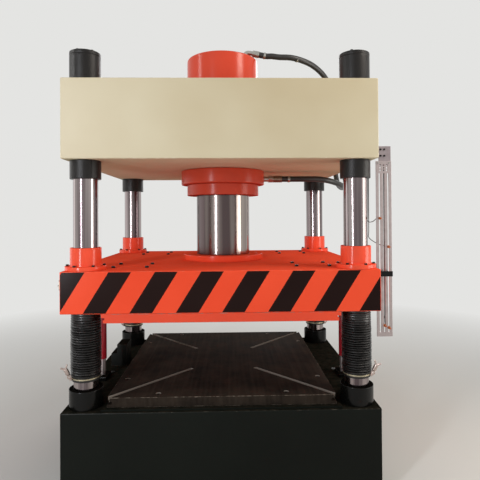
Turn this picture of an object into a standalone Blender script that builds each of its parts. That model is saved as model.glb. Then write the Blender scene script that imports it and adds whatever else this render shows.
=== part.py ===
"""Four-column hydraulic press with one main cylinder, in metres, +Z up.

The origin is on the floor under the press axis. +X is the operator's right and -Y is the front.
A bed carries the columns, the columns carry the crown, and the crown carries the cylinder. The
slide hangs on the ram and runs on the columns. It moves along Z, on the empty named slide_travel.
"""

import math

import bmesh
import bpy
from mathutils import Matrix, Vector

# Clearances and overruns
FIT = 0.0003
OVERRUN = 0.010
MERGE = 0.00005

# Columns
COLUMN_PITCH_X = 1.700
COLUMN_PITCH_Y = 1.360
COLUMN_RADIUS = 0.075
COLUMN_CHAMFER = 0.006
COLUMN_FOOT_Z = 0.040

# Bed and bolster
BED_OVERHANG_X = 0.120
BED_OVERHANG_Y = 0.120
BED_HEIGHT = 0.545
BED_PAD_HEIGHT = 0.010
BED_PAD_MARGIN = 0.028
BED_EDGE = 0.006
BOLSTER_SIDE_GAP = 0.043
BOLSTER_END_MARGIN = 0.050
BOLSTER_THICKNESS = 0.060
BOLSTER_EDGE = 0.003
SLOT_NECK_WIDTH = 0.028
SLOT_NECK_DEPTH = 0.024
SLOT_HEAD_WIDTH = 0.046
SLOT_HEAD_DEPTH = 0.018
SLOT_INNER_RADIUS = 0.330
BOLSTER_SCREW_RADIUS = 0.017
BOLSTER_SCREW_DEPTH = 0.022
BOLSTER_SCREW_SIDE_INSET = 0.055
BOLSTER_SCREW_SIDE_Y = 0.430
BOLSTER_SCREW_END_X = 0.400
BOLSTER_SCREW_END_INSET = 0.060

# Slide and its plate
DAYLIGHT = 0.465
SLIDE_OVERHANG_X = 0.120
SLIDE_OVERHANG_Y = 0.120
SLIDE_HEIGHT = 0.255
SLIDE_EDGE = 0.005
SLIDE_SCREW_RADIUS = 0.008
SLIDE_SCREW_DEPTH = 0.030
SLIDE_SCREW_INSET_X = 0.150
SLIDE_SCREW_INSET_Y = 0.080
SLIDE_SCREW_SPAN_X = 0.215
SLIDE_SCREW_SPAN_Y = 0.200
DIE_PLATE_GAP = 0.027
DIE_PLATE_THICKNESS = 0.055
DIE_PLATE_EDGE = 0.002
DIE_PLATE_GROOVE_DEPTH = 0.022
DIE_PLATE_GROOVE_HEIGHT = 0.013
DIE_PLATE_LIP_HEIGHT = 0.019
DIE_PLATE_LIP_STEP = 0.013
SIDE_CAP_RADIUS = 0.040
SIDE_CAP_THICKNESS = 0.012
SIDE_CAP_HUB_RADIUS = 0.020
SIDE_CAP_HUB_HEIGHT = 0.008
SIDE_CAP_INSET_Y = 0.060
SIDE_CAP_DROP = 0.086

# Guide bushes
BUSH_SEAT_WALL = 0.023
BUSH_NECK_WALL = 0.0195
BUSH_NECK_HEIGHT = 0.113
BUSH_FLANGE_STEP = 0.0305
BUSH_FLANGE_THICKNESS = 0.025
BUSH_EDGE = 0.004

# Crown
CROWN_OVERHANG_X = 0.115
CROWN_OVERHANG_Y = 0.115
CROWN_NUT_CLEARANCE = 0.025
CROWN_HEIGHT = 0.490
CROWN_EDGE = 0.005

# Column nuts
NUT_WALL = 0.0195
BED_NUT_WALL = 0.027
NUT_EDGE = 0.004
TOP_NUT_HEIGHT = 0.182
TOP_NUT_CAP_HEIGHT = 0.020
TOP_NUT_GROOVE = 0.003
CROWN_NUT_HEIGHT = 0.116
CROWN_NUT_SLIT = 0.003
BED_NUT_HEIGHT = 0.115

# Cylinder, gland and ram
BORE_RADIUS = 0.225
BARREL_WALL = 0.048
BARREL_EDGE = 0.014
BARREL_END_THICKNESS = 0.160
CYLINDER_FLANGE_STEP = 0.050
CYLINDER_FLANGE_HEIGHT = 0.109
FLANGE_EDGE = 0.004
RING_NUT_WALL = 0.0617
RING_NUT_HEIGHT = 0.080
GLAND_STEP = 0.053
GLAND_HEIGHT = 0.081
GLAND_SPIGOT_HEIGHT = 0.085
GLAND_LIP_HEIGHT = 0.012
GLAND_LIP_CLEARANCE = 0.001
GLAND_BUSH_WALL = 0.008
GLAND_BUSH_HEIGHT = 0.095
GLAND_SEAL_HEIGHT = 0.048
RAM_RADIUS = 0.205
PISTON_HEIGHT = 0.160
PISTON_SEAL_DEPTH = 0.010
PISTON_SEAL_HEIGHT = 0.034
PISTON_END_GAP = 0.030
STROKE_DOWN = 0.100
STROKE_UP = 0.400
RAM_FOOT_STEP = 0.030
RAM_FOOT_HEIGHT = 0.020
RAM_RING_WALL = 0.068
RAM_RING_HEIGHT = 0.041

# Bellows and their clamps
BELLOWS_RISE = 0.052
BELLOWS_PLEAT_DEPTH = 0.011
BELLOWS_WALL = 0.004
BELLOWS_CLEARANCE = 0.0035
BELLOWS_CUFF_HEIGHT = 0.026
BELLOWS_CUFF_WALL = 0.0092
BELLOWS_COLLAR_HEIGHT = 0.006
BELLOWS_PLEATS = 14
CLAMP_WALL = 0.003
CLAMP_HEIGHT = 0.016
CLAMP_RISE = 0.005
CLAMP_LUG_LENGTH = 0.030
CLAMP_LUG_DEPTH = 0.012

# Stop posts beside the bolster and the stepped block
STOP_INSET = 0.090
STOP_Y = -0.205
STOP_SLEEVE_RADIUS = 0.0255
STOP_SLEEVE_WALL = 0.004
STOP_SLEEVE_GAP = 0.014
STOP_SLEEVE_COLLAR_RADIUS = 0.031
STOP_SLEEVE_COLLAR_HEIGHT = 0.014
STOP_ROD_RADIUS = 0.0195
STOP_ROD_INSET = 0.015
STOP_ROD_SEAT = 0.010
STOP_BORE_CLEARANCE = 0.004
STOP_BASE_WIDTH = 0.080
STOP_BASE_DEPTH = 0.150
STOP_BASE_HEIGHT = 0.026
STOP_BASE_EDGE = 0.003
STEP_BLOCK_INSET = 0.082
STEP_BLOCK_Y = 0.130
STEP_BLOCK_WIDTH = 0.120
STEP_BLOCK_DEPTH = 0.160
STEP_BLOCK_LOWER = 0.097
STEP_BLOCK_UPPER = 0.166
STEP_BLOCK_TREAD = 0.045

# Switch rail, sensors and trigger
RAIL_GAP = 0.006
RAIL_INSET_Y = 0.095
RAIL_WIDTH = 0.098
RAIL_THICKNESS = 0.008
RAIL_LENGTH = 1.206
RAIL_BRACKET_HEIGHT = 0.091
RAIL_BRACKET_DEPTH = 0.050
RAIL_SLOT_WIDTH = 0.010
RAIL_SLOT_PITCH = 0.027
RAIL_SLOT_COUNT = 3
RAIL_END = 0.028
RAIL_HEAD = 0.085
RAIL_HOLE_LENGTH = 0.010
RAIL_HOLE_WIDTH = 0.009
RAIL_HOLE_SPREAD = 0.021
RAIL_HOLE_PITCH = 0.0163
RAIL_HOLE_ROWS = 4
SENSOR_RADIUS = 0.0046
SENSOR_NUT_RADIUS = 0.0095
SENSOR_NUT_HEIGHT = 0.005
SENSOR_FRONT = 0.026
SENSOR_BACK = 0.034
SENSOR_UPPER_DROP = 0.370
SENSOR_MIDDLE_DROP = 0.550
SENSOR_LOWER_RISE = 0.055
LEAD_RADIUS = 0.004
TRIGGER_GAP = 0.008
TRIGGER_REACH = 0.092
TRIGGER_THICKNESS = 0.010
TRIGGER_HEIGHT = 0.032
TRIGGER_DROP = 0.020
TRIGGER_FOOT_DEPTH = 0.050
TRIGGER_FOOT_THICKNESS = 0.008
TRIGGER_FLAG_X = 0.054
TRIGGER_FLAG_WIDTH = 0.012
TRIGGER_FLAG_LENGTH = 0.074

# Pressure hoses and their fittings
HOSE_RADIUS = 0.0225
FITTING_RADIUS = 0.018
HEX_RADIUS = 0.030
FERRULE_RADIUS = 0.0265
ELBOW_INSET = 0.098
ELBOW_RISE = 0.053
ELBOW_REACH = 0.175
ELBOW_HEX_HEIGHT = 0.026
ELBOW_FERRULE_LENGTH = 0.110
FLANGE_PORT_DROP = 0.0605
FLANGE_PORT_HEX = 0.030
FLANGE_PORT_LENGTH = 0.205
FLANGE_PORT_FERRULE = 0.135
BLOCK_WIDTH = 0.130
BLOCK_DEPTH = 0.160
BLOCK_HEIGHT = 0.190
BLOCK_INSET_Y = 0.175
BLOCK_TOP_DROP = 0.060
BLOCK_PORT_HEIGHT = 0.040
HOSE_BLOCK_OFFSET = 0.070
TOP_HOSE_SHARES = (
    (0.15, 0.01, 0.01),
    (0.29, 0.03, 0.01),
    (0.44, 0.09, 0.04),
    (0.58, 0.19, 0.09),
    (0.72, 0.32, 0.20),
    (0.83, 0.50, 0.33),
    (0.92, 0.69, 0.49),
    (0.98, 0.88, 0.67),
)
LOWER_HOSE_SHARES = (
    (0.22, 0.00, 0.00),
    (0.45, 0.03, 0.00),
    (0.65, 0.08, -0.05),
    (0.85, 0.23, -0.13),
    (0.97, 0.44, -0.18),
    (1.00, 0.65, -0.16),
    (1.00, 0.82, -0.02),
    (1.00, 0.95, 0.33),
)
HOSE_SAMPLES = 3

# Facets around each kind of round piece
BIG_ROUND = 24
ROUND = 16
SMALL_ROUND = 12
HOLE_ROUND = 8

# Levels and outlines worked out from the sizes above
PAD_TOP_Z = BED_HEIGHT + BED_PAD_HEIGHT
BOLSTER_TOP_Z = PAD_TOP_Z + FIT + BOLSTER_THICKNESS
DIE_PLATE_Z = BOLSTER_TOP_Z + DAYLIGHT
SLIDE_Z = DIE_PLATE_Z + DIE_PLATE_THICKNESS + FIT
SLIDE_TOP_Z = SLIDE_Z + SLIDE_HEIGHT
BUSH_TOP_Z = SLIDE_TOP_Z + FIT + BUSH_FLANGE_THICKNESS + BUSH_NECK_HEIGHT
CROWN_UNDERSIDE_Z = BUSH_TOP_Z + STROKE_UP + CROWN_NUT_CLEARANCE + CROWN_NUT_HEIGHT + FIT
CROWN_TOP_Z = CROWN_UNDERSIDE_Z + CROWN_HEIGHT
BED_SIZE_X = COLUMN_PITCH_X + 2 * BED_OVERHANG_X
BED_SIZE_Y = COLUMN_PITCH_Y + 2 * BED_OVERHANG_Y
SLIDE_SIZE_X = COLUMN_PITCH_X + 2 * SLIDE_OVERHANG_X
SLIDE_SIZE_Y = COLUMN_PITCH_Y + 2 * SLIDE_OVERHANG_Y
CROWN_SIZE_X = COLUMN_PITCH_X + 2 * CROWN_OVERHANG_X
CROWN_SIZE_Y = COLUMN_PITCH_Y + 2 * CROWN_OVERHANG_Y
NUT_RADIUS = COLUMN_RADIUS + NUT_WALL
BED_NUT_RADIUS = COLUMN_RADIUS + BED_NUT_WALL
BUSH_SEAT_RADIUS = COLUMN_RADIUS + BUSH_SEAT_WALL
BUSH_NECK_RADIUS = COLUMN_RADIUS + BUSH_NECK_WALL
BUSH_FLANGE_RADIUS = BUSH_NECK_RADIUS + BUSH_FLANGE_STEP
BELLOWS_BORE_RADIUS = COLUMN_RADIUS + BELLOWS_CLEARANCE
BELLOWS_ROOT_RADIUS = BELLOWS_BORE_RADIUS + BELLOWS_WALL
BELLOWS_CREST_RADIUS = BELLOWS_ROOT_RADIUS + BELLOWS_PLEAT_DEPTH
BELLOWS_CUFF_RADIUS = COLUMN_RADIUS + FIT + BELLOWS_CUFF_WALL
BOLSTER_WIDTH = COLUMN_PITCH_X - 2 * (BED_NUT_RADIUS + BOLSTER_SIDE_GAP)
BOLSTER_DEPTH = BED_SIZE_Y - 2 * BOLSTER_END_MARGIN
DIE_PLATE_WIDTH = COLUMN_PITCH_X - 2 * (BUSH_SEAT_RADIUS + DIE_PLATE_GAP)
BELLOWS_LOWER_Z = BED_HEIGHT + FIT + BED_NUT_HEIGHT + BELLOWS_RISE
STOP_X = BED_SIZE_X / 2 - STOP_INSET
BARREL_RADIUS = BORE_RADIUS + BARREL_WALL
CYLINDER_FLANGE_RADIUS = BARREL_RADIUS + CYLINDER_FLANGE_STEP
RING_NUT_RADIUS = BARREL_RADIUS + FIT + RING_NUT_WALL
GLAND_RADIUS = BORE_RADIUS + GLAND_STEP
RAM_FOOT_RADIUS = RAM_RADIUS + RAM_FOOT_STEP
RAM_RING_RADIUS = RAM_FOOT_RADIUS + RAM_RING_WALL
FLANGE_UNDER_Z = CROWN_UNDERSIDE_Z - FIT - CYLINDER_FLANGE_HEIGHT
SPIGOT_TOP_Z = FLANGE_UNDER_Z - FIT + GLAND_SPIGOT_HEIGHT
PISTON_UNDER_Z = SPIGOT_TOP_Z + PISTON_END_GAP + STROKE_DOWN
PISTON_TOP_Z = PISTON_UNDER_Z + PISTON_HEIGHT
BARREL_TOP_Z = PISTON_TOP_Z + STROKE_UP + PISTON_END_GAP + BARREL_END_THICKNESS
GLAND_BUSH_OUTER = RAM_RADIUS + FIT + GLAND_BUSH_WALL
RAIL_X = SLIDE_SIZE_X / 2 + RAIL_GAP
RAIL_Y = RAIL_INSET_Y - CROWN_SIZE_Y / 2
SENSOR_FACE_Y = RAIL_Y - RAIL_THICKNESS / 2 - FIT - SENSOR_FRONT
TRIGGER_Y = SENSOR_FACE_Y - TRIGGER_GAP - TRIGGER_THICKNESS / 2
BLOCK_Y = CROWN_SIZE_Y / 2 - BLOCK_INSET_Y
ELBOW_X = BARREL_RADIUS - ELBOW_INSET
RAIL_TOP_Z = CROWN_UNDERSIDE_Z + RAIL_BRACKET_HEIGHT
RAIL_BOTTOM_Z = RAIL_TOP_Z - RAIL_LENGTH

COLUMNS = {
    f"{row}_{side}": Vector((x * COLUMN_PITCH_X / 2, y * COLUMN_PITCH_Y / 2, 0))
    for row, y in (("front", -1), ("back", 1))
    for side, x in (("left", -1), ("right", 1))
}
SIDES = {"left": -1, "right": 1}

# Finishes: colour, roughness, metallic
FINISHES = {
    "cream_paint": ((0.72, 0.66, 0.48), 0.30, 0.0),
    "orange_paint": ((0.86, 0.08, 0.025), 0.28, 0.0),
    "black_paint": ((0.012, 0.012, 0.013), 0.25, 0.0),
    "bed_paint": ((0.020, 0.030, 0.028), 0.40, 0.0),
    "red_tube": ((0.30, 0.012, 0.016), 0.35, 0.0),
    "chrome": ((0.75, 0.75, 0.76), 0.12, 1.0),
    "machined_steel": ((0.09, 0.08, 0.075), 0.42, 1.0),
    "grey_steel": ((0.42, 0.43, 0.44), 0.38, 1.0),
    "bronze": ((0.46, 0.28, 0.10), 0.35, 1.0),
    "seal": ((0.05, 0.03, 0.02), 0.60, 0.0),
    "rubber": ((0.015, 0.014, 0.014), 0.65, 0.0),
    "zinc": ((0.55, 0.56, 0.58), 0.30, 1.0),
    "copper": ((0.70, 0.25, 0.10), 0.35, 1.0),
}


def clear_scene():
    for obj in list(bpy.data.objects):
        bpy.data.objects.remove(obj, do_unlink=True)


def new_collection(name):
    collection = bpy.data.collections.new(name)
    bpy.context.scene.collection.children.link(collection)
    return collection


def new_material(name, finish):
    colour, roughness, metallic = FINISHES[finish]
    material = bpy.data.materials.new(name)
    material.use_nodes = True
    shader = material.node_tree.nodes["Principled BSDF"]
    shader.inputs["Base Color"].default_value = (*colour, 1)
    shader.inputs["Roughness"].default_value = roughness
    shader.inputs["Metallic"].default_value = metallic
    return material


def mesh_of(fill, name):
    """A new mesh from a function that fills a bmesh."""
    shape = bmesh.new()
    fill(shape)
    mesh = bpy.data.meshes.new(name)
    shape.to_mesh(mesh)
    shape.free()
    return mesh


def place(name, mesh, finish, at, parent=None):
    """A sub-part: its object in the part's collection, in its own material, at a world place."""
    obj = bpy.data.objects.new(name, mesh)
    mesh.materials.append(new_material(name, finish))
    PART.objects.link(obj)
    obj.location = Vector(at) - (parent.location if parent else Vector())
    obj.parent = parent
    return obj


def place_cutter(name, mesh, at, parent=None):
    obj = bpy.data.objects.new(name, mesh)
    CUTTERS.objects.link(obj)
    obj.location = Vector(at) - (parent.location if parent else Vector())
    obj.parent = parent
    obj.hide_render = True
    obj.display_type = "WIRE"
    return obj


def combine(obj, other, operation="DIFFERENCE"):
    step = obj.modifiers.new(other.name, "BOOLEAN")
    step.operation = operation
    step.solver = "EXACT"
    step.object = other


def apply_modifiers(obj):
    """Puts the evaluated mesh on the object, so that its edges can be marked sharp."""
    graph = bpy.context.evaluated_depsgraph_get()
    finished = bpy.data.meshes.new_from_object(obj.evaluated_get(graph))
    obj.modifiers.clear()
    obj.data = finished


def smooth(obj):
    obj.data.shade_smooth()
    obj.data.set_sharp_from_angle(angle=math.radians(32))


def turned_mesh(name, profile, rounds):
    """A profile of (radius, height) points turned about Z. A ring's profile is a closed loop."""
    points = [Vector((radius, 0, height)) for radius, height in profile]
    ring = all(radius > 0 for radius, height in profile)

    def fill(shape):
        corners = [shape.verts.new(point) for point in points]
        pairs = list(zip(corners, corners[1:] + corners[:1]))
        for pair in pairs if ring else pairs[:-1]:
            shape.edges.new(pair)

    mesh = mesh_of(fill, name)
    guide = bpy.data.objects.new(name, mesh)
    bpy.context.scene.collection.objects.link(guide)
    screw = guide.modifiers.new("turn", "SCREW")
    screw.steps = rounds
    screw.render_steps = rounds
    screw.use_merge_vertices = True
    screw.merge_threshold = MERGE
    apply_modifiers(guide)
    turned_result = guide.data
    bpy.data.objects.remove(guide, do_unlink=True)
    return turned_result


def turned(name, profile, finish, at, rounds=ROUND, parent=None):
    obj = place(name, turned_mesh(name, profile, rounds), finish, at, parent)
    smooth(obj)
    return obj


def block_mesh(name, sizes, places=((0, 0, 0),), turns=(0,)):
    """Boxes of one size, centred on their places, each turned about Z."""

    def fill(shape):
        for spot, turn in zip(places, turns * len(places) if len(turns) == 1 else turns):
            frame = Matrix.Translation(spot) @ Matrix.Rotation(turn, 4, "Z")
            bmesh.ops.create_cube(shape, size=1, matrix=frame @ Matrix.Diagonal((*sizes, 1)))

    return mesh_of(fill, name)


def block(name, sizes, finish, at, edge=0, parent=None):
    """A box centred in X and Y on its place and standing on it, with rounded edges."""
    mesh = block_mesh(name, sizes, ((0, 0, sizes[2] / 2),))
    obj = place(name, mesh, finish, at, parent)
    if edge:
        round_off = obj.modifiers.new("edge", "BEVEL")
        round_off.width = edge
        round_off.segments = 2
    return obj


def rod_mesh(name, radius, low, high, places=((0, 0),), rounds=ROUND, frame=Matrix()):
    """Upright cylinders from one height to another, as one mesh."""

    def fill(shape):
        for x, y in places:
            centre = Matrix.Translation((x, y, (low + high) / 2))
            bmesh.ops.create_cone(
                shape,
                cap_ends=True,
                segments=rounds,
                radius1=radius,
                radius2=radius,
                depth=high - low,
                matrix=frame @ centre,
            )

    return mesh_of(fill, name)


def column_spots():
    return [(spot.x, spot.y) for spot in COLUMNS.values()]


def mirrored_spots(x, y):
    return [(x, y), (-x, y), (x, -y), (-x, -y)]


def make_bed():
    bed = block("bed", (BED_SIZE_X, BED_SIZE_Y, BED_HEIGHT), "bed_paint", (0, 0, 0), BED_EDGE)
    pad_width = BOLSTER_WIDTH + 2 * BED_PAD_MARGIN
    pad_depth = BOLSTER_DEPTH + 2 * BED_PAD_MARGIN
    pad = block_mesh("bed_pad", (pad_width, pad_depth, 2 * BED_PAD_HEIGHT))
    combine(bed, place_cutter("bed_pad", pad, (0, 0, BED_HEIGHT)), "UNION")
    holes = rod_mesh("bed_holes", COLUMN_RADIUS + FIT, COLUMN_FOOT_Z - FIT,
                     BED_HEIGHT + OVERRUN, column_spots())
    combine(bed, place_cutter("bed_holes", holes, (0, 0, 0)))


def make_bolster():
    sizes = (BOLSTER_WIDTH, BOLSTER_DEPTH, BOLSTER_THICKNESS)
    bolster = block("bolster", sizes, "machined_steel", (0, 0, PAD_TOP_Z + FIT), BOLSTER_EDGE)
    corner = math.hypot(BOLSTER_WIDTH / 2, BOLSTER_DEPTH / 2) + OVERRUN
    length = corner - SLOT_INNER_RADIUS
    middle = SLOT_INNER_RADIUS + length / 2
    slant = math.atan2(BOLSTER_DEPTH, BOLSTER_WIDTH)
    turns = (slant, math.pi - slant, math.pi + slant, -slant)
    spots = [(middle * math.cos(turn), middle * math.sin(turn), 0) for turn in turns]
    neck = block_mesh("slot_necks", (length, SLOT_NECK_WIDTH, 2 * SLOT_NECK_DEPTH), spots, turns)
    combine(bolster, place_cutter("slot_necks", neck, (0, 0, BOLSTER_TOP_Z)))
    head = block_mesh("slot_heads", (length, SLOT_HEAD_WIDTH, SLOT_HEAD_DEPTH), spots, turns)
    head_z = BOLSTER_TOP_Z - SLOT_NECK_DEPTH - SLOT_HEAD_DEPTH / 2
    combine(bolster, place_cutter("slot_heads", head, (0, 0, head_z)))
    screws = mirrored_spots(BOLSTER_WIDTH / 2 - BOLSTER_SCREW_SIDE_INSET, BOLSTER_SCREW_SIDE_Y)
    screws += mirrored_spots(BOLSTER_SCREW_END_X, BOLSTER_DEPTH / 2 - BOLSTER_SCREW_END_INSET)
    sinks = rod_mesh("bolster_sinks", BOLSTER_SCREW_RADIUS, BOLSTER_TOP_Z - BOLSTER_SCREW_DEPTH,
                     BOLSTER_TOP_Z + OVERRUN, screws, HOLE_ROUND)
    combine(bolster, place_cutter("bolster_sinks", sinks, (0, 0, 0)))


def make_columns():
    top = CROWN_TOP_Z + FIT + TOP_NUT_HEIGHT - TOP_NUT_CAP_HEIGHT
    length = top - COLUMN_FOOT_Z
    profile = (
        (0, length),
        (COLUMN_RADIUS - COLUMN_CHAMFER, length),
        (COLUMN_RADIUS, length - COLUMN_CHAMFER),
        (COLUMN_RADIUS, COLUMN_CHAMFER),
        (COLUMN_RADIUS - COLUMN_CHAMFER, 0),
        (0, 0),
    )
    for name, spot in COLUMNS.items():
        at = spot + Vector((0, 0, COLUMN_FOOT_Z))
        turned(f"column_{name}", profile, "chrome", at)


def make_crown():
    sizes = (CROWN_SIZE_X, CROWN_SIZE_Y, CROWN_HEIGHT)
    at = (0, 0, CROWN_UNDERSIDE_Z)
    crown = block("crown", sizes, "cream_paint", at, CROWN_EDGE)
    low = CROWN_UNDERSIDE_Z - OVERRUN
    high = CROWN_TOP_Z + OVERRUN
    holes = rod_mesh("crown_holes", COLUMN_RADIUS + FIT, low, high, column_spots())
    combine(crown, place_cutter("crown_holes", holes, (0, 0, 0)))
    bore = rod_mesh("crown_bore", BARREL_RADIUS + FIT, low, high, rounds=BIG_ROUND)
    combine(crown, place_cutter("crown_bore", bore, (0, 0, 0)))


def nut_profile(radius, height):
    """A plain round nut: an open ring with its outer edges broken."""
    bore = COLUMN_RADIUS + FIT
    return [
        (bore, height),
        (radius - NUT_EDGE, height),
        (radius, height - NUT_EDGE),
        (radius, NUT_EDGE),
        (radius - NUT_EDGE, 0),
        (bore, 0),
    ]


def top_nut_profile():
    """A closed cap nut, with the line of its locked cap turned into the outside."""
    bore = COLUMN_RADIUS + FIT
    seam = TOP_NUT_HEIGHT - TOP_NUT_CAP_HEIGHT
    return [
        (0, TOP_NUT_HEIGHT),
        (NUT_RADIUS - NUT_EDGE, TOP_NUT_HEIGHT),
        (NUT_RADIUS, TOP_NUT_HEIGHT - NUT_EDGE),
        (NUT_RADIUS, seam + TOP_NUT_GROOVE),
        (NUT_RADIUS - TOP_NUT_GROOVE, seam),
        (NUT_RADIUS, seam - TOP_NUT_GROOVE),
        (NUT_RADIUS, 0),
        (bore, 0),
        (bore, seam + FIT),
        (0, seam + FIT),
    ]


def make_nuts():
    slit_sizes = (CROWN_NUT_SLIT, NUT_RADIUS, CROWN_NUT_HEIGHT + 2 * OVERRUN)
    for name, spot in COLUMNS.items():
        top = spot + Vector((0, 0, CROWN_TOP_Z + FIT))
        turned(f"top_nut_{name}", top_nut_profile(), "black_paint", top)
        lower = spot + Vector((0, 0, CROWN_UNDERSIDE_Z - FIT - CROWN_NUT_HEIGHT))
        lower_nut = nut_profile(NUT_RADIUS, CROWN_NUT_HEIGHT)
        nut = turned(f"crown_nut_{name}", lower_nut, "black_paint", lower)
        slit = block_mesh(f"nut_slit_{name}", slit_sizes)
        slit_at = lower + Vector((0, -COLUMN_RADIUS - NUT_RADIUS / 2 + OVERRUN,
                                  CROWN_NUT_HEIGHT / 2))
        combine(nut, place_cutter(f"nut_slit_{name}", slit, slit_at))
        seat = spot + Vector((0, 0, BED_HEIGHT + FIT))
        foot_nut = nut_profile(BED_NUT_RADIUS, BED_NUT_HEIGHT)
        turned(f"bed_nut_{name}", foot_nut, "black_paint", seat)


def make_cylinder():
    """The barrel with its closed end and its flange, turned in one piece."""
    height = BARREL_TOP_Z - FLANGE_UNDER_Z
    flange = CYLINDER_FLANGE_HEIGHT
    roof = height - BARREL_END_THICKNESS
    shoulder = BARREL_EDGE * (1 - math.cos(math.radians(45)))
    profile = (
        (0, height),
        (BARREL_RADIUS - BARREL_EDGE, height),
        (BARREL_RADIUS - shoulder, height - shoulder),
        (BARREL_RADIUS, height - BARREL_EDGE),
        (BARREL_RADIUS, flange),
        (CYLINDER_FLANGE_RADIUS, flange),
        (CYLINDER_FLANGE_RADIUS, FLANGE_EDGE),
        (CYLINDER_FLANGE_RADIUS - FLANGE_EDGE, 0),
        (BORE_RADIUS, 0),
        (BORE_RADIUS, roof),
        (0, roof),
    )
    turned("cylinder_barrel", profile, "orange_paint", (0, 0, FLANGE_UNDER_Z), BIG_ROUND)
    bore = BARREL_RADIUS + FIT
    ring = (
        (bore, RING_NUT_HEIGHT),
        (RING_NUT_RADIUS - FLANGE_EDGE, RING_NUT_HEIGHT),
        (RING_NUT_RADIUS, RING_NUT_HEIGHT - FLANGE_EDGE),
        (RING_NUT_RADIUS, 0),
        (bore, 0),
    )
    turned("cylinder_ring_nut", ring, "orange_paint", (0, 0, CROWN_TOP_Z + FIT), BIG_ROUND)


def make_gland():
    """The gland ring under the flange, its spigot in the bore, and the bush and seal in it."""
    gland_z = FLANGE_UNDER_Z - FIT - GLAND_HEIGHT
    top = GLAND_HEIGHT + GLAND_SPIGOT_HEIGHT
    pocket = GLAND_BUSH_OUTER + FIT
    profile = (
        (BORE_RADIUS - FIT, top),
        (BORE_RADIUS - FIT, GLAND_HEIGHT),
        (GLAND_RADIUS, GLAND_HEIGHT),
        (GLAND_RADIUS, FLANGE_EDGE),
        (GLAND_RADIUS - FLANGE_EDGE, 0),
        (RAM_RADIUS + GLAND_LIP_CLEARANCE, 0),
        (RAM_RADIUS + GLAND_LIP_CLEARANCE, GLAND_LIP_HEIGHT),
        (pocket, GLAND_LIP_HEIGHT),
        (pocket, top),
    )
    turned("cylinder_gland", profile, "orange_paint", (0, 0, gland_z), BIG_ROUND)
    bush_z = gland_z + GLAND_LIP_HEIGHT + FIT
    pieces = (
        ("gland_bush", GLAND_BUSH_HEIGHT, bush_z, "bronze"),
        ("gland_seal", GLAND_SEAL_HEIGHT, bush_z + GLAND_BUSH_HEIGHT + FIT, "seal"),
    )
    for name, height, base, finish in pieces:
        ring = (
            (GLAND_BUSH_OUTER, height),
            (GLAND_BUSH_OUTER, 0),
            (RAM_RADIUS + FIT, 0),
            (RAM_RADIUS + FIT, height),
        )
        turned(name, ring, finish, (0, 0, base), BIG_ROUND)


def make_ram(travel):
    """The ram and its piston in one piece, the piston's seal, and the ring that holds its foot."""
    foot_z = SLIDE_TOP_Z + FIT
    under = PISTON_UNDER_Z - foot_z
    top = PISTON_TOP_Z - foot_z
    piston = BORE_RADIUS - FIT
    groove = piston - PISTON_SEAL_DEPTH
    groove_low = under + (PISTON_HEIGHT - PISTON_SEAL_HEIGHT) / 2
    groove_high = groove_low + PISTON_SEAL_HEIGHT
    profile = (
        (0, top),
        (piston, top),
        (piston, groove_high),
        (groove, groove_high),
        (groove, groove_low),
        (piston, groove_low),
        (piston, under),
        (RAM_RADIUS, under),
        (RAM_RADIUS, RAM_FOOT_HEIGHT),
        (RAM_FOOT_RADIUS, RAM_FOOT_HEIGHT),
        (RAM_FOOT_RADIUS, 0),
        (0, 0),
    )
    turned("ram", profile, "chrome", (0, 0, foot_z), BIG_ROUND, travel)
    seal = (
        (piston, PISTON_SEAL_HEIGHT - FIT),
        (piston, FIT),
        (groove + FIT, FIT),
        (groove + FIT, PISTON_SEAL_HEIGHT - FIT),
    )
    turned("piston_seal", seal, "seal", (0, 0, foot_z + groove_low), BIG_ROUND, travel)
    ring = (
        (RAM_RADIUS + FIT, RAM_RING_HEIGHT),
        (RAM_RING_RADIUS - FLANGE_EDGE, RAM_RING_HEIGHT),
        (RAM_RING_RADIUS, RAM_RING_HEIGHT - FLANGE_EDGE),
        (RAM_RING_RADIUS, 0),
        (RAM_FOOT_RADIUS + FIT, 0),
        (RAM_FOOT_RADIUS + FIT, RAM_FOOT_HEIGHT + FIT),
        (RAM_RADIUS + FIT, RAM_FOOT_HEIGHT + FIT),
    )
    turned("ram_ring", ring, "orange_paint", (0, 0, foot_z), BIG_ROUND, travel)


def make_slide(travel):
    sizes = (SLIDE_SIZE_X, SLIDE_SIZE_Y, SLIDE_HEIGHT)
    slide = block("slide", sizes, "orange_paint", (0, 0, SLIDE_Z), SLIDE_EDGE, travel)
    low = SLIDE_Z - OVERRUN
    high = SLIDE_TOP_Z + OVERRUN
    seats = rod_mesh("bush_seats", BUSH_SEAT_RADIUS + FIT, low, high, column_spots())
    combine(slide, place_cutter("bush_seats", seats, (0, 0, 0), travel))
    outer_x = COLUMN_PITCH_X / 2 - SLIDE_SCREW_INSET_X
    outer_y = COLUMN_PITCH_Y / 2 - SLIDE_SCREW_INSET_Y
    screws = [
        spot
        for x in (outer_x, outer_x - SLIDE_SCREW_SPAN_X)
        for y in (outer_y, outer_y - SLIDE_SCREW_SPAN_Y)
        for spot in mirrored_spots(x, y)
    ]
    taps = rod_mesh("slide_taps", SLIDE_SCREW_RADIUS, SLIDE_TOP_Z - SLIDE_SCREW_DEPTH, high,
                    screws, HOLE_ROUND)
    combine(slide, place_cutter("slide_taps", taps, (0, 0, 0), travel))
    rods = [(side * STOP_X, STOP_Y) for side in SIDES.values()]
    reach = STROKE_DOWN + STOP_ROD_INSET
    bores = rod_mesh("rod_bores", STOP_ROD_RADIUS + STOP_BORE_CLEARANCE, low, SLIDE_Z + reach,
                     rods, SMALL_ROUND)
    combine(slide, place_cutter("rod_bores", bores, (0, 0, 0), travel))


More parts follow.
